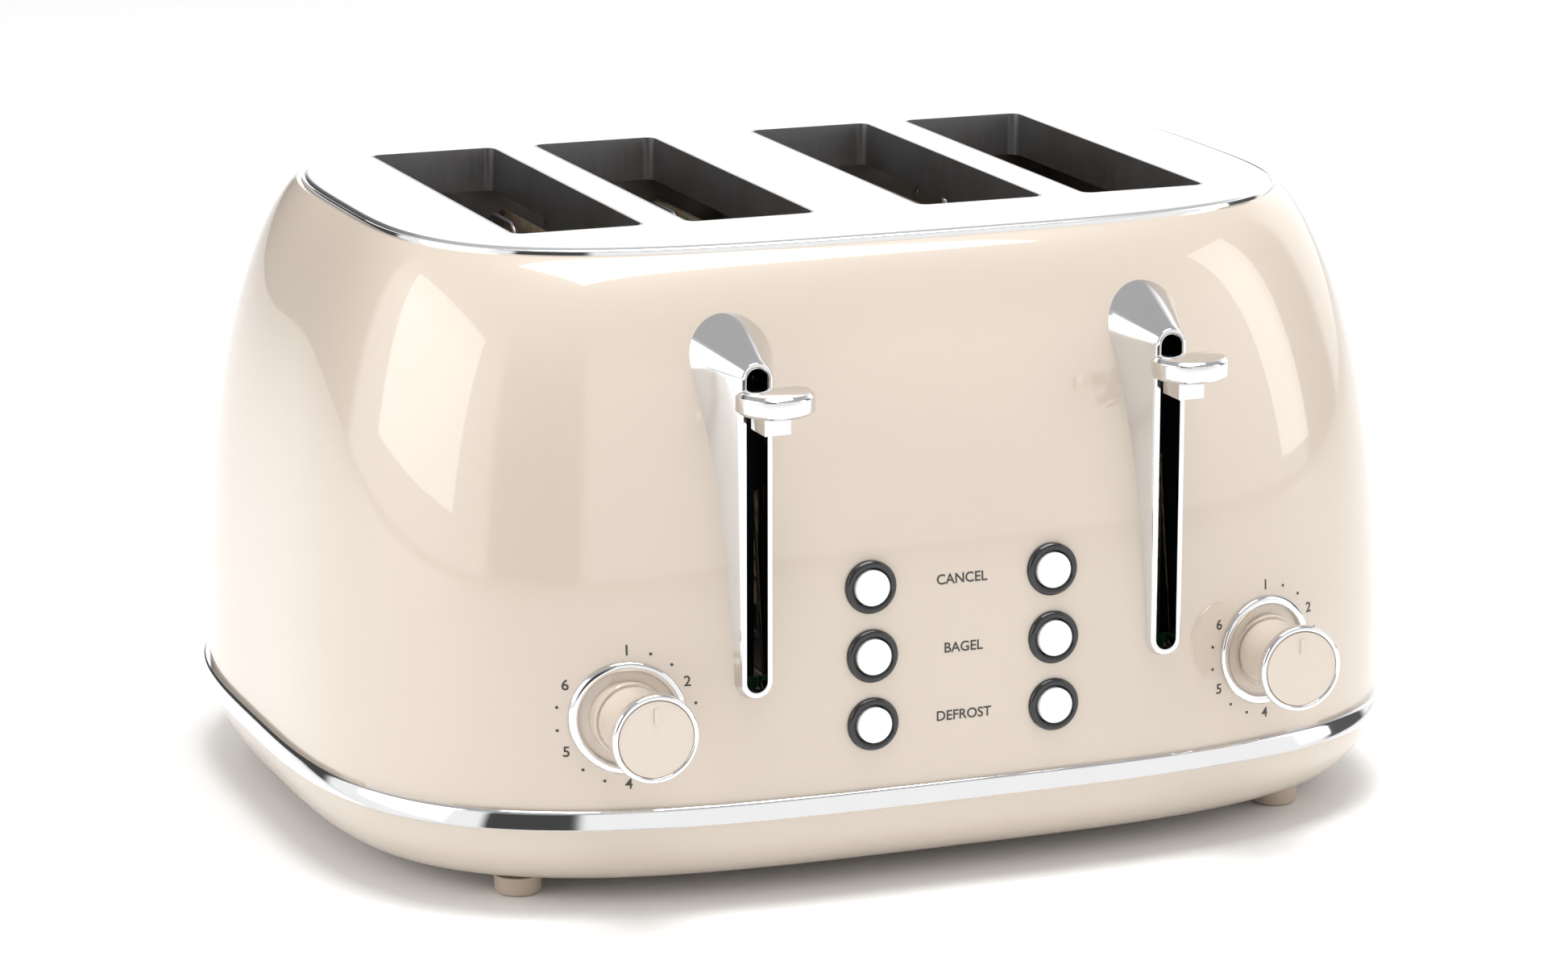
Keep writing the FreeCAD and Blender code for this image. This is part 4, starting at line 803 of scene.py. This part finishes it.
class TOASTER_OT_base(Maker):
    """Bowl-shaped base with the crumb trays' mouths, and its four feet"""

    bl_idname = "toaster.base"
    bl_label = "Base and feet"

    def make(self):
        low, high, _ = span("base_tray")
        half = [(high[i] - low[i]) / 2 for i in (0, 1)]
        floor, rise = low.z, high.z - low.z
        levels = ((0.0, 1.0), (0.12, 0.60), (0.36, 0.27), (0.70, 0.07), (1.0, 0.0))

        def tuck(share):
            """Draw-in at a share of the height, smoothly through the levels."""
            for (a, ta), (b, tb) in zip(levels, levels[1:]):
                if share <= b:
                    break
            slopes = {0.0: -4.6, 0.12: -1.9, 0.36: -0.85, 0.70: -0.35, 1.0: -0.12}
            h = b - a
            t = min(max((share - a) / h, 0), 1)
            return ((2 * t**3 - 3 * t**2 + 1) * ta + (t**3 - 2 * t**2 + t) * h * slopes[a]
                    + (3 * t**2 - 2 * t**3) * tb + (t**3 - t**2) * h * slopes[b])

        def bowl(inset, lift, count=20):
            rings = []
            for i in range(count + 1):
                share = (i / count) ** 1.5
                draw = tuck(share)
                z = floor + lift + (rise - lift) * share
                rings.append(ring(*[h - inset - t * draw for h, t in zip(half, BASE_TUCK)], z))
            return rings

        def fill(mesh):
            outer, inner = bowl(0, 0), bowl(2.2 * MM, 2.2 * MM)
            flat = [Vector((p.x * 0.985, MIDDLE_Y + (p.y - MIDDLE_Y) * 0.985, floor)) for p in outer[0]]
            rows = skin(mesh, [flat] + outer + list(reversed(inner)))
            mesh.faces.new(rows[0])
            mesh.faces.new(rows[-1])

        made = piece("base_bowl", fill, base_plastic(), body=None, sharp=None)

        def mouths(mesh):
            for side in SIDES:
                a, b, _ = span(f"crumb_tray_{side}")
                gap = 0.6 * MM
                box_solid(
                    mesh, (a.x - gap, MIDDLE_Y + TRAY_MOUTH, a.z - gap), (b.x + gap, b.y + 0.01, b.z + gap),
                )
            for foot in ("front_left", "front_right", "back_left", "back_right"):
                mid = span(f"foot_{foot}")[2]
                prism(mesh, moved(disc(2.7 * MM, 24), mid.x, mid.y), floor - 0.002, floor + 0.006,
                      to_top)

        carve(made, mouths)

        def fittings(mesh):
            for side in SIDES:
                a, b, _ = span(f"crumb_tray_{side}")
                for x in (a.x - 1.4 * MM, b.x - 2.4 * MM):
                    box_solid(
                        mesh, (x, a.y, floor + 0.5 * MM),
                        (x + 4 * MM, MIDDLE_Y + TRAY_MOUTH - 0.3 * MM, a.z - 0.1 * MM),
                    )
            lo, hi, _ = span("base_screws")
            for x in (lo.x + 3 * MM, hi.x - 3 * MM):
                for y in (lo.y + 3 * MM, hi.y - 3 * MM):
                    lathe(mesh, [(1.7 * MM, 1.2 * MM), (4.2 * MM, 1.2 * MM),
                                 (4.2 * MM, 20.4 * MM), (1.7 * MM, 20.4 * MM)],
                          (x, y, floor), "up", 32, closed=True)

        hand_over(made, HOUSING, ("base_tray",), sharp=35)
        piece("base_runners_and_bosses", fittings, base_plastic())
        for spot in ("front_left", "front_right", "back_left", "back_right"):
            a, b, mid = span(f"foot_{spot}")
            radius = (b.x - a.x) / 2
            profile = [(0, 0), (radius - 1.8 * MM, 0)]
            profile += arc((radius - 1.6 * MM, 1.3 * MM), 1.3 * MM, -80, -8, 6)
            profile += [(radius, floor - 0.02 * MM), (2.6 * MM, floor - 0.02 * MM), (2.6 * MM, b.z), (0, b.z)]
            piece(f"foot_moulded_{spot}", lambda mesh: lathe(mesh, profile, (mid.x, mid.y, 0), "up", 64),
                  foot_rubber(), stands_for=(f"foot_{spot}",))


class TOASTER_OT_bezels(Maker):
    """Bright teardrop bezels round the lever slots, fitted to the shell"""

    bl_idname = "toaster.bezels"
    bl_label = "Lever bezels"

    def make(self):
        s = sizes()
        for side in SIDES:
            x, low, high = lever_spot(side)
            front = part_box(f"lever_bezel_{side}")[0].y

            def spot(radius, back, i):
                u, v = stadium(radius, low, high, 40)[i]
                return Vector((x + u, front + back, v))

            count = len(stadium(1, low, high, 40))

            def fitted(i):
                """How far back the drafted flank meets the body, along one ray."""
                near, far = 0.0, 60 * MM
                for _ in range(40):
                    mid = (near + far) / 2
                    p = spot(s.ring_radius + s.bezel_draft * mid, mid, i)
                    if p.y < front_y(p.x, p.z):
                        near = mid
                    else:
                        far = mid
                return near + 0.15 * MM

            depths = [fitted(i) for i in range(count)]

            def fill(mesh):
                rings = []
                steps = 14
                for k in range(steps, -1, -1):
                    rings.append([
                        spot(s.ring_radius + s.bezel_draft * (0.35 * MM + (d - 0.35 * MM) * k / steps),
                             0.35 * MM + (d - 0.35 * MM) * k / steps, i)
                        for i, d in enumerate(depths)
                    ])
                lip = [(s.ring_radius - 0.02 * MM, 0.12 * MM), (s.ring_radius - 0.25 * MM, 0.0),
                       (s.ring_hole + 0.3 * MM, 0.0), (s.ring_hole + 0.06 * MM, 0.1 * MM),
                       (s.ring_hole, 0.35 * MM)]
                rings += [[spot(r, b, i) for i in range(count)] for r, b in lip]
                for wider, past in ((0.0, 1.2 * MM), (0.7 * MM, 1.2 * MM), (0.7 * MM, -0.4 * MM)):
                    rings.append([
                        spot(s.ring_hole + wider, max(d, 3 * MM) + past, i) for i, d in enumerate(depths)
                    ])
                skin(mesh, rings, closed=True)

            piece(
                f"bezel_bright_{side}", fill, chrome(), stands_for=(f"lever_bezel_{side}",),
                sharp=50,
            )


class TOASTER_OT_pads(Maker):
    """Bright finger pads on the lever arms"""

    bl_idname = "toaster.pads"
    bl_label = "Finger pads"

    def make(self):
        for side in SIDES:
            low, high, mid = span(f"lever_pad_{side}")
            radius = (high.x - low.x) / 2
            bottom = high.z - 6 * MM
            arm_low, arm_high, _ = span(f"carriage_{side}")
            arm_z = (arm_low.z + arm_high.z) / 2

            def outline(inset):
                r = radius - inset
                points = arc((mid.x, low.y + radius), r, 180, 360, 28)
                back = MIDDLE_Y - PAD_BACK - inset
                return points + [(mid.x + r, back - 2 * MM), (mid.x + r - 2 * MM, back),
                                 (mid.x - r + 2 * MM, back), (mid.x - r, back - 2 * MM)]

            def fill(mesh):
                layers = [(1.0, 0), (0.0, 1.0), (0.0, 5.0), (1.0, 6.0)]
                skin(mesh, [[Vector((u, v, bottom + h * MM)) for u, v in outline(i * MM)] for i, h in layers],
                     caps=(True, True))
                face, back = MIDDLE_Y - ARM_TIP - 1.4 * MM, MIDDLE_Y - PAD_BACK + 4 * MM
                outer = [(mid.x - 3.8 * MM, low.z), (mid.x + 3.8 * MM, low.z),
                         (mid.x + 3.8 * MM, bottom + 0.05 * MM), (mid.x - 3.8 * MM, bottom + 0.05 * MM)]
                hole = [(mid.x - 1.5 * MM, arm_z - 2.7 * MM), (mid.x + 1.5 * MM, arm_z - 2.7 * MM),
                        (mid.x + 1.5 * MM, arm_z + 2.7 * MM), (mid.x - 1.5 * MM, arm_z + 2.7 * MM)]
                depth = MIDDLE_Y - ARM_TIP
                edges = ((outer, face), (outer, back), (hole, back), (hole, depth))
                skin(mesh, [[Vector((u, y, v)) for u, v in edge] for edge, y in edges], caps=(True, True))

            piece(f"finger_pad_bright_{side}", fill, chrome(), body=f"lift_{side}",
                  stands_for=(f"lever_pad_{side}",), sharp=25, bevel=0.22 * MM)


class TOASTER_OT_knobs(Maker):
    """Waisted browning knobs, their face rings and the bright rings on the shell"""

    bl_idname = "toaster.knobs"
    bl_label = "Browning knobs"

    def make(self):
        for side in SIDES:
            high = span(f"browning_knob_{side}")[1]
            ring_low, ring_high, mid = span(f"knob_ring_{side}")
            base = MIDDLE_Y - KNOB_BACK
            long = base - (MIDDLE_Y - KNOB_FRONT)
            centre = (mid.x, base, mid.z)

            def knob(mesh):
                stem = base - high.y
                profile = [(0, stem), (3 * MM, stem), (3 * MM, 0), (9.3 * MM, 0), (9.45 * MM, 0.3 * MM)]
                for i in range(1, 13):
                    t = i / 12
                    profile.append(((9.45 + 2.1 * t**2.2) * MM, 0.3 * MM + (long - 3.3 * MM) * t))
                profile += [(10.66 * MM, long - 2.95 * MM), (10.66 * MM, long - 0.25 * MM)]
                profile += arc((10.36 * MM, long - 0.3 * MM), 0.3 * MM, 10, 85, 4)
                profile += [
                    (9.9 * MM, long - 0.22 * MM), (9.0 * MM, long - 0.12 * MM), (0, long - 0.05 * MM),
                ]
                lathe(mesh, profile, centre)

            def pointer(mesh):
                outline = rounded(
                    (mid.x - 0.6 * MM, mid.z + 4.2 * MM), (mid.x + 0.6 * MM, mid.z + 8.6 * MM), 0.5 * MM, 5,
                )
                prism(mesh, outline, base - long - 0.4 * MM, base - long + 0.4 * MM, to_front)

            def both(mesh):
                knob(mesh)
                pointer(mesh)

            body = f"knob_{side}"
            piece(f"knob_moulded_{side}", both, knob_plastic(), body=body,
                  stands_for=(f"browning_knob_{side}",), sharp=40)
            outer = (ring_high.x - ring_low.x) / 2
            front = long + 0.2 * MM
            face_ring = [(10.7 * MM, long - 3 * MM), (11.5 * MM, long - 3 * MM)]
            face_ring += arc((outer - 0.7 * MM, long - 1.9 * MM), 0.7 * MM, -60, 0, 6)
            face_ring += arc((outer - 0.9 * MM, front - 0.9 * MM), 0.9 * MM, 0, 110, 12)
            face_ring += [(10.7 * MM, front - 0.5 * MM)]
            piece(f"knob_ring_bright_{side}", lambda mesh: lathe(mesh, face_ring, centre, closed=True),
                  chrome(), body=body, stands_for=(f"knob_ring_{side}",), sharp=50)
            self.dial_ring(side, mid)

    def dial_ring(self, side, mid):
        low, high, _ = span(f"dial_ring_{side}")
        inner, outer = 13.1 * MM, (high.x - low.x) / 2
        section = [(inner, -0.4), (inner, 0.6)] + [
            (inner + (outer - inner) * (0.5 - 0.5 * math.cos(math.pi * i / 10)),
             0.6 + 0.9 * math.sin(math.pi * i / 10))
            for i in range(1, 10)
        ]
        section += [(outer, 0.6), (outer, -0.4)]

        def fill(mesh):
            rings = []
            for radius, proud in section:
                points = []
                for u, v in disc(radius, 128):
                    x, z = mid.x + u, mid.z + v
                    points.append(Vector((x, front_y(x, z, proud * MM), z)))
                rings.append(points)
            skin(mesh, rings, closed=True)

        piece(
            f"dial_ring_bright_{side}", fill, chrome(), stands_for=(f"dial_ring_{side}",),
            sharp=60,
        )


def lettering(text, size, x, z):
    """Outline faces of a text, centred at (x, z), as (points, faces) in the x-z plane."""
    curve = bpy.data.curves.new("lettering", "FONT")
    curve.body, curve.size, curve.align_x, curve.align_y = text, size, "CENTER", "CENTER"
    curve.resolution_u = 6
    curve.offset = 0.05 * MM
    holder = new_object("lettering", curve)
    bpy.context.view_layer.update()
    graph = bpy.context.evaluated_depsgraph_get()
    flat = bpy.data.meshes.new_from_object(holder.evaluated_get(graph), depsgraph=graph)
    points = [(x + v.co.x, z + v.co.y) for v in flat.vertices]
    faces = [tuple(f.vertices) for f in flat.polygons]
    bpy.data.objects.remove(holder)
    bpy.data.curves.remove(curve)
    bpy.data.meshes.remove(flat)
    return points, faces


def print_on_shell(mesh, points, faces, lift=0.07 * MM):
    """Lays flat faces on the shell's front, as a film of ink."""
    rows = []
    for x, z in points:
        rows.append(mesh.verts.new((x, front_y(x, z) - lift, z)))
    for face in faces:
        mesh.faces.new([rows[i] for i in face])


class TOASTER_OT_prints(Maker):
    """Dial numbers and dots, and the words between the buttons"""

    bl_idname = "toaster.prints"
    bl_label = "Printed marks"

    def make(self):
        for side in SIDES:
            mid = span(f"knob_ring_{side}")[2]

            def fill(mesh):
                for number in range(6):
                    angle = math.radians(60 * number)
                    print_on_shell(mesh, *lettering(str(number + 1), 4.1 * MM,
                                                    mid.x + DIAL_REACH * math.sin(angle),
                                                    mid.z + DIAL_REACH * math.cos(angle)))
                    if number == 5:
                        continue
                    for step in (20, 40):
                        spot = math.radians(60 * number + step)
                        cx, cz = mid.x + DIAL_REACH * math.sin(spot), mid.z + DIAL_REACH * math.cos(spot)
                        dots = moved(disc(0.42 * MM, 20), cx, cz)
                        print_on_shell(mesh, dots, [tuple(range(20))])

            self.ink(f"dial_print_{side}", fill)
        for row, word in zip(ROWS, ("DEFROST", "BAGEL", "CANCEL")):
            z = span(f"button_{row}_left")[2].z
            self.ink(f"word_{row}", lambda mesh: print_on_shell(mesh, *lettering(word, 3.95 * MM, 0, z)))

    def ink(self, name, fill):
        mesh = bmesh.new()
        fill(mesh)
        made = bmesh.ops.extrude_face_region(mesh, geom=list(mesh.faces))
        for vertex in [e for e in made["geom"] if isinstance(e, bmesh.types.BMVert)]:
            vertex.co.y += 0.05 * MM
        obj = new_object(name, to_data(mesh, name))
        obj.data.materials.append(print_ink())
        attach(obj, HOUSING)


class TOASTER_OT_buttons(Maker):
    """Push buttons and the black collars round them"""

    bl_idname = "toaster.buttons"
    bl_label = "Push buttons"

    def make(self):
        for side in SIDES:
            for row in ROWS:
                low, high, mid = span(f"button_{row}_{side}")
                deep = high.y - low.y
                radius = (high.x - low.x) / 2
                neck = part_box("button_carrier")[1].y - low.y
                profile = [
                    (0, -deep), (2 * MM, -deep), (2 * MM, -neck), (radius, -neck), (radius, -0.5 * MM),
                ]
                profile += arc((radius - 0.5 * MM, -0.5 * MM), 0.5 * MM, 10, 80, 6)
                profile += [(radius - 1.4 * MM, -0.06 * MM), (radius * 0.5, -0.14 * MM), (0, -0.16 * MM)]
                name = f"button_{row}_{side}"
                piece(f"button_cap_{row}_{side}",
                      lambda mesh: lathe(mesh, profile, (mid.x, low.y, mid.z), count=64),
                      button_face(), body=name, stands_for=(name,))

        low, high, _ = span("button_carrier")

        def fill(mesh):
            for side in SIDES:
                for row in ROWS:
                    mid = span(f"button_{row}_{side}")[2]
                    face = front_y(0, mid.z) - 1.3 * MM
                    back = face - (high.y - 2 * MM)
                    inner, outer = 5.35 * MM, 7.5 * MM
                    half = (outer - inner) / 2
                    profile = [(inner, back), (inner, -half)] + arc((inner + half, -half), half, 172, 8, 16)
                    profile += [(outer, -half), (outer, back)]
                    lathe(mesh, profile, (mid.x, face, mid.z), count=72, closed=True)
            box_solid(mesh, (low.x, high.y - 2 * MM, low.z), (high.x, high.y, high.z))

        made = piece("button_collars", fill, black_gloss(), body=None)
        spots = [span(f"button_{row}_{side}")[2] for side in SIDES for row in ROWS]
        carve(made, lambda mesh: [prism(mesh, moved(disc(5.34 * MM, 48), m.x, m.z), high.y - 2.5 * MM,
                                        high.y + 1 * MM, to_front) for m in spots])
        hand_over(made, HOUSING, ("button_carrier",), sharp=40)


class TOASTER_OT_springs(Maker):
    """Coiled lift springs"""

    bl_idname = "toaster.springs"
    bl_label = "Lift springs"

    def make(self):
        for side in SIDES:
            low, high, mid = span(f"lift_spring_{side}")
            wire = 0.45 * MM
            group, tree, (radius, height, turns, thick) = grower("coil", Radius="Float", Height="Float",
                                                                 Turns="Float", Wire="Float")
            coil = tree.add("GeometryNodeCurveSpiral", {
                "Resolution": 20, "Rotations": turns, "Start Radius": radius, "End Radius": radius,
                "Height": height,
            })
            section = tree.add("GeometryNodeCurvePrimitiveCircle", {"Resolution": 10, "Radius": thick})
            tube = tree.add(
                "GeometryNodeCurveToMesh", {"Curve": coil, "Profile Curve": section, "Fill Caps": True},
            )
            close_tree(tree, tube, plain_steel())
            values = {
                "Radius": (high.x - low.x) / 2 - wire, "Height": high.z - low.z - 2 * wire, "Turns": 11.0,
                "Wire": wire,
            }
            made = grown(f"lift_spring_coil_{side}", group, values, Vector((mid.x, mid.y, low.z + wire)))
            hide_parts(f"lift_spring_{side}")
            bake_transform(made)


def grower(name, **inputs):
    """A new geometry tree with named inputs: the group, its tree and a Wire for each input."""
    group = bpy.data.node_groups.new(name, "GeometryNodeTree")
    for key, kind in inputs.items():
        group.interface.new_socket(key, in_out="INPUT", socket_type="NodeSocket" + kind)
    group.interface.new_socket("Geometry", in_out="OUTPUT", socket_type="NodeSocketGeometry")
    tree = Tree(group.nodes, group.links)
    given = group.nodes.new("NodeGroupInput")
    return group, tree, [Wire(tree, given.outputs[i]) for i in range(len(inputs))]


def close_tree(tree, geometry, material):
    real = tree.add("GeometryNodeRealizeInstances", (geometry,))
    painted = tree.add("GeometryNodeSetMaterial", {"Geometry": real, "Material": material})
    tree.join(painted, tree.nodes.new("NodeGroupOutput").inputs[0])


def grown(name, group, values, offset):
    """A plain mesh made by a geometry tree with the given inputs, moved by an offset."""
    obj = new_object(name, bpy.data.meshes.new(name))
    step = obj.modifiers.new("grow", "NODES")
    step.node_group = group
    for item in group.interface.items_tree:
        if item.in_out == "INPUT" and item.name in values:
            step[item.identifier] = values[item.name]
    bake(obj)
    obj.data.transform(Matrix.Translation(offset))
    obj.data.polygons.foreach_set("use_smooth", [True] * len(obj.data.polygons))
    return obj


class TOASTER_OT_windings(Maker):
    """Heating ribbons wound across the mica cards"""

    bl_idname = "toaster.windings"
    bl_label = "Heating ribbons"

    def make(self):
        group, tree, (rows, pitch, size) = grower("winding", Rows="Int", Pitch="Float", Size="Vector")
        step = tree.add("ShaderNodeCombineXYZ", {"Z": pitch})
        line = tree.add("GeometryNodeMeshLine", {"Count": rows, "Offset": step})
        strip = tree.add("GeometryNodeMeshCube", {"Size": size})
        copies = tree.add("GeometryNodeInstanceOnPoints", {"Points": line, "Instance": strip})
        close_tree(tree, copies, ribbon())
        for number in range(1, 7):
            low, high, mid = span(f"heater_card_{number}")
            count, gap = 16, 8 * MM
            pitch_now = (high.z - low.z - 2 * gap) / (count - 1)
            values = {
                "Rows": count, "Pitch": pitch_now,
                "Size": ((high.x - low.x) + 0.4 * MM, high.y - low.y - 8 * MM, 1.4 * MM),
            }
            made = grown(f"heating_ribbons_{number}", group, values, Vector((mid.x, mid.y, low.z + gap)))
            made.data.polygons.foreach_set("use_smooth", [False] * len(made.data.polygons))
            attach(made, HOUSING)


class TOASTER_OT_inside(Maker):
    """Finishes of the pieces whose CAD form is shown as it is"""

    bl_idname = "toaster.inside"
    bl_label = "Inner pieces"

    def make(self):
        looks = {
            "slot_wells": plain_steel, "chassis_plate": plain_steel, "guide_rod": chrome,
            "bread_": plain_steel, "heater_card": mica, "electromagnet": copper, "control_board": board,
            "carriage": black_moulding, "crumb_tray": plain_steel, "base_screws": plain_steel,
            "mains_gland": black_moulding,
        }
        for name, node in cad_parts.items():
            for start, look in looks.items():
                if name.startswith(start):
                    material = look()
                    if not node.material_slots:
                        node.data.materials.append(material)
                    for slot in node.material_slots:
                        slot.material = material


class TOASTER_OT_stage(Maker):
    """Plain pale floor, soft studio lights and the camera"""

    bl_idname = "toaster.stage"
    bl_label = "Stage"

    def make(self):
        scene = bpy.context.scene
        white = finish("floor_look", lambda tree: {
            "Base Color": tree.mix(
                tree.noise(tree.place(), 3.0), (0.93, 0.93, 0.93, 1), (0.96, 0.96, 0.96, 1),
            ),
            "Roughness": 0.7,
        })
        self.panel("floor", [(-6, -6, 0), (6, -6, 0), (6, 6, 0), (-6, 6, 0)], white)
        self.sky(scene)
        self.light("softbox_left", (-2.6, 0.16, 1.1), (0, 0, 0.1), (2.4, 1.6), 22)
        self.light("softbox_right", (2.5, -1.0, 1.1), (0, 0, 0.1), (0.7, 2.0), 8)
        self.light("over", (0.1, -0.3, 2.4), (0, 0, 0), (1.7, 1.1), 52)
        self.camera(scene)

    def sky(self, scene):
        """White where the camera looks; in reflections, dark upright bands and a grey ceiling."""
        world = bpy.data.worlds.new("studio")
        scene.world = world
        world.use_nodes = True
        world.node_tree.nodes.clear()
        tree = Tree(world.node_tree.nodes, world.node_tree.links)
        way = tree.add("ShaderNodeTexCoord", out=0)
        split = tree.nodes.new("ShaderNodeSeparateXYZ")
        tree.join(way, split.inputs[0])
        x, y, z = (Wire(tree, split.outputs[i]) for i in range(3))
        turn = tree.add("ShaderNodeMath", (x, -1 * y), operation="ARCTAN2") * (0.5 / math.pi) + 0.5
        stops = [(0.0, 0.05), (0.120, 0.05), (0.130, 0.76), (0.345, 0.76), (0.355, 0.05), (0.440, 0.05),
                 (0.448, 0.76), (0.700, 0.76), (0.712, 0.08), (0.775, 0.08), (0.790, 0.80), (0.870, 1.0),
                 (0.972, 1.0), (0.985, 0.05), (1.0, 0.05)]
        bands = tree.add("ShaderNodeValToRGB", (turn,), stops=[(place, (v, v, v)) for place, v in stops])
        high = ((z - 0.45) * 5).clamped()
        shade = tree.mix(high, bands, (0.34, 0.34, 0.34, 1))
        seen = tree.add("ShaderNodeLightPath", out=0)
        colour = tree.mix(seen, shade, (1, 1, 1, 1))
        background = tree.add("ShaderNodeBackground", {"Color": colour, "Strength": 1.5})
        tree.add("ShaderNodeOutputWorld", {"Surface": background})

    def panel(self, name, corners, material):
        data = bpy.data.meshes.new(name)
        data.from_pydata(corners, [], [(0, 1, 2, 3)])
        data.materials.append(material)
        new_object(name, data)

    def light(self, name, where, toward, size, power):
        data = bpy.data.lights.new(name, "AREA")
        data.shape, data.size, data.size_y, data.energy = "RECTANGLE", size[0], size[1], power
        obj = new_object(name, data)
        obj.location = where
        obj.rotation_euler = (Vector(toward) - Vector(where)).to_track_quat("-Z", "Y").to_euler()

    def camera(self, scene):
        scene.view_settings.view_transform = "Standard"
        data = bpy.data.cameras.new("camera")
        data.lens, data.sensor_width = 118.8, 36
        data.clip_start, data.clip_end = 0.05, 30
        obj = new_object("camera", data)
        obj.location = (-0.5475, -1.3967 + MIDDLE_Y, 0.4474)
        obj.rotation_euler = (math.radians(90 - 13.622), 0, math.radians(-21.383))
        scene.camera = obj


STEPS = (
    TOASTER_OT_shell, TOASTER_OT_top, TOASTER_OT_band, TOASTER_OT_base, TOASTER_OT_bezels,
    TOASTER_OT_pads, TOASTER_OT_knobs, TOASTER_OT_prints, TOASTER_OT_buttons, TOASTER_OT_springs,
    TOASTER_OT_windings, TOASTER_OT_inside, TOASTER_OT_stage,
)


class TOASTER_PT_panel(bpy.types.Panel):
    """Lists the toaster's pieces, sizes and colours"""

    bl_idname = "TOASTER_PT_panel"
    bl_label = "Toaster"
    bl_space_type = "VIEW_3D"
    bl_region_type = "UI"
    bl_category = "Toaster"

    def draw(self, context):
        for step in STEPS:
            self.layout.operator(step.bl_idname)
        for group in (context.scene.toaster_sizes, context.scene.toaster_colours):
            box = self.layout.box()
            for key in group.__annotations__:
                box.prop(group, key)


CLASSES = (ToasterSizes, ToasterColours, *STEPS, TOASTER_PT_panel)


def register():
    for item in CLASSES:
        bpy.utils.register_class(item)
    bpy.types.Scene.toaster_sizes = PointerProperty(type=ToasterSizes)
    bpy.types.Scene.toaster_colours = PointerProperty(type=ToasterColours)


def unregister():
    del bpy.types.Scene.toaster_colours
    del bpy.types.Scene.toaster_sizes
    for item in reversed(CLASSES):
        bpy.utils.unregister_class(item)


def main():
    register()
    for step in STEPS:
        group, name = step.bl_idname.split(".")
        getattr(getattr(bpy.ops, group), name)()


if __name__ == "__main__":
    main()
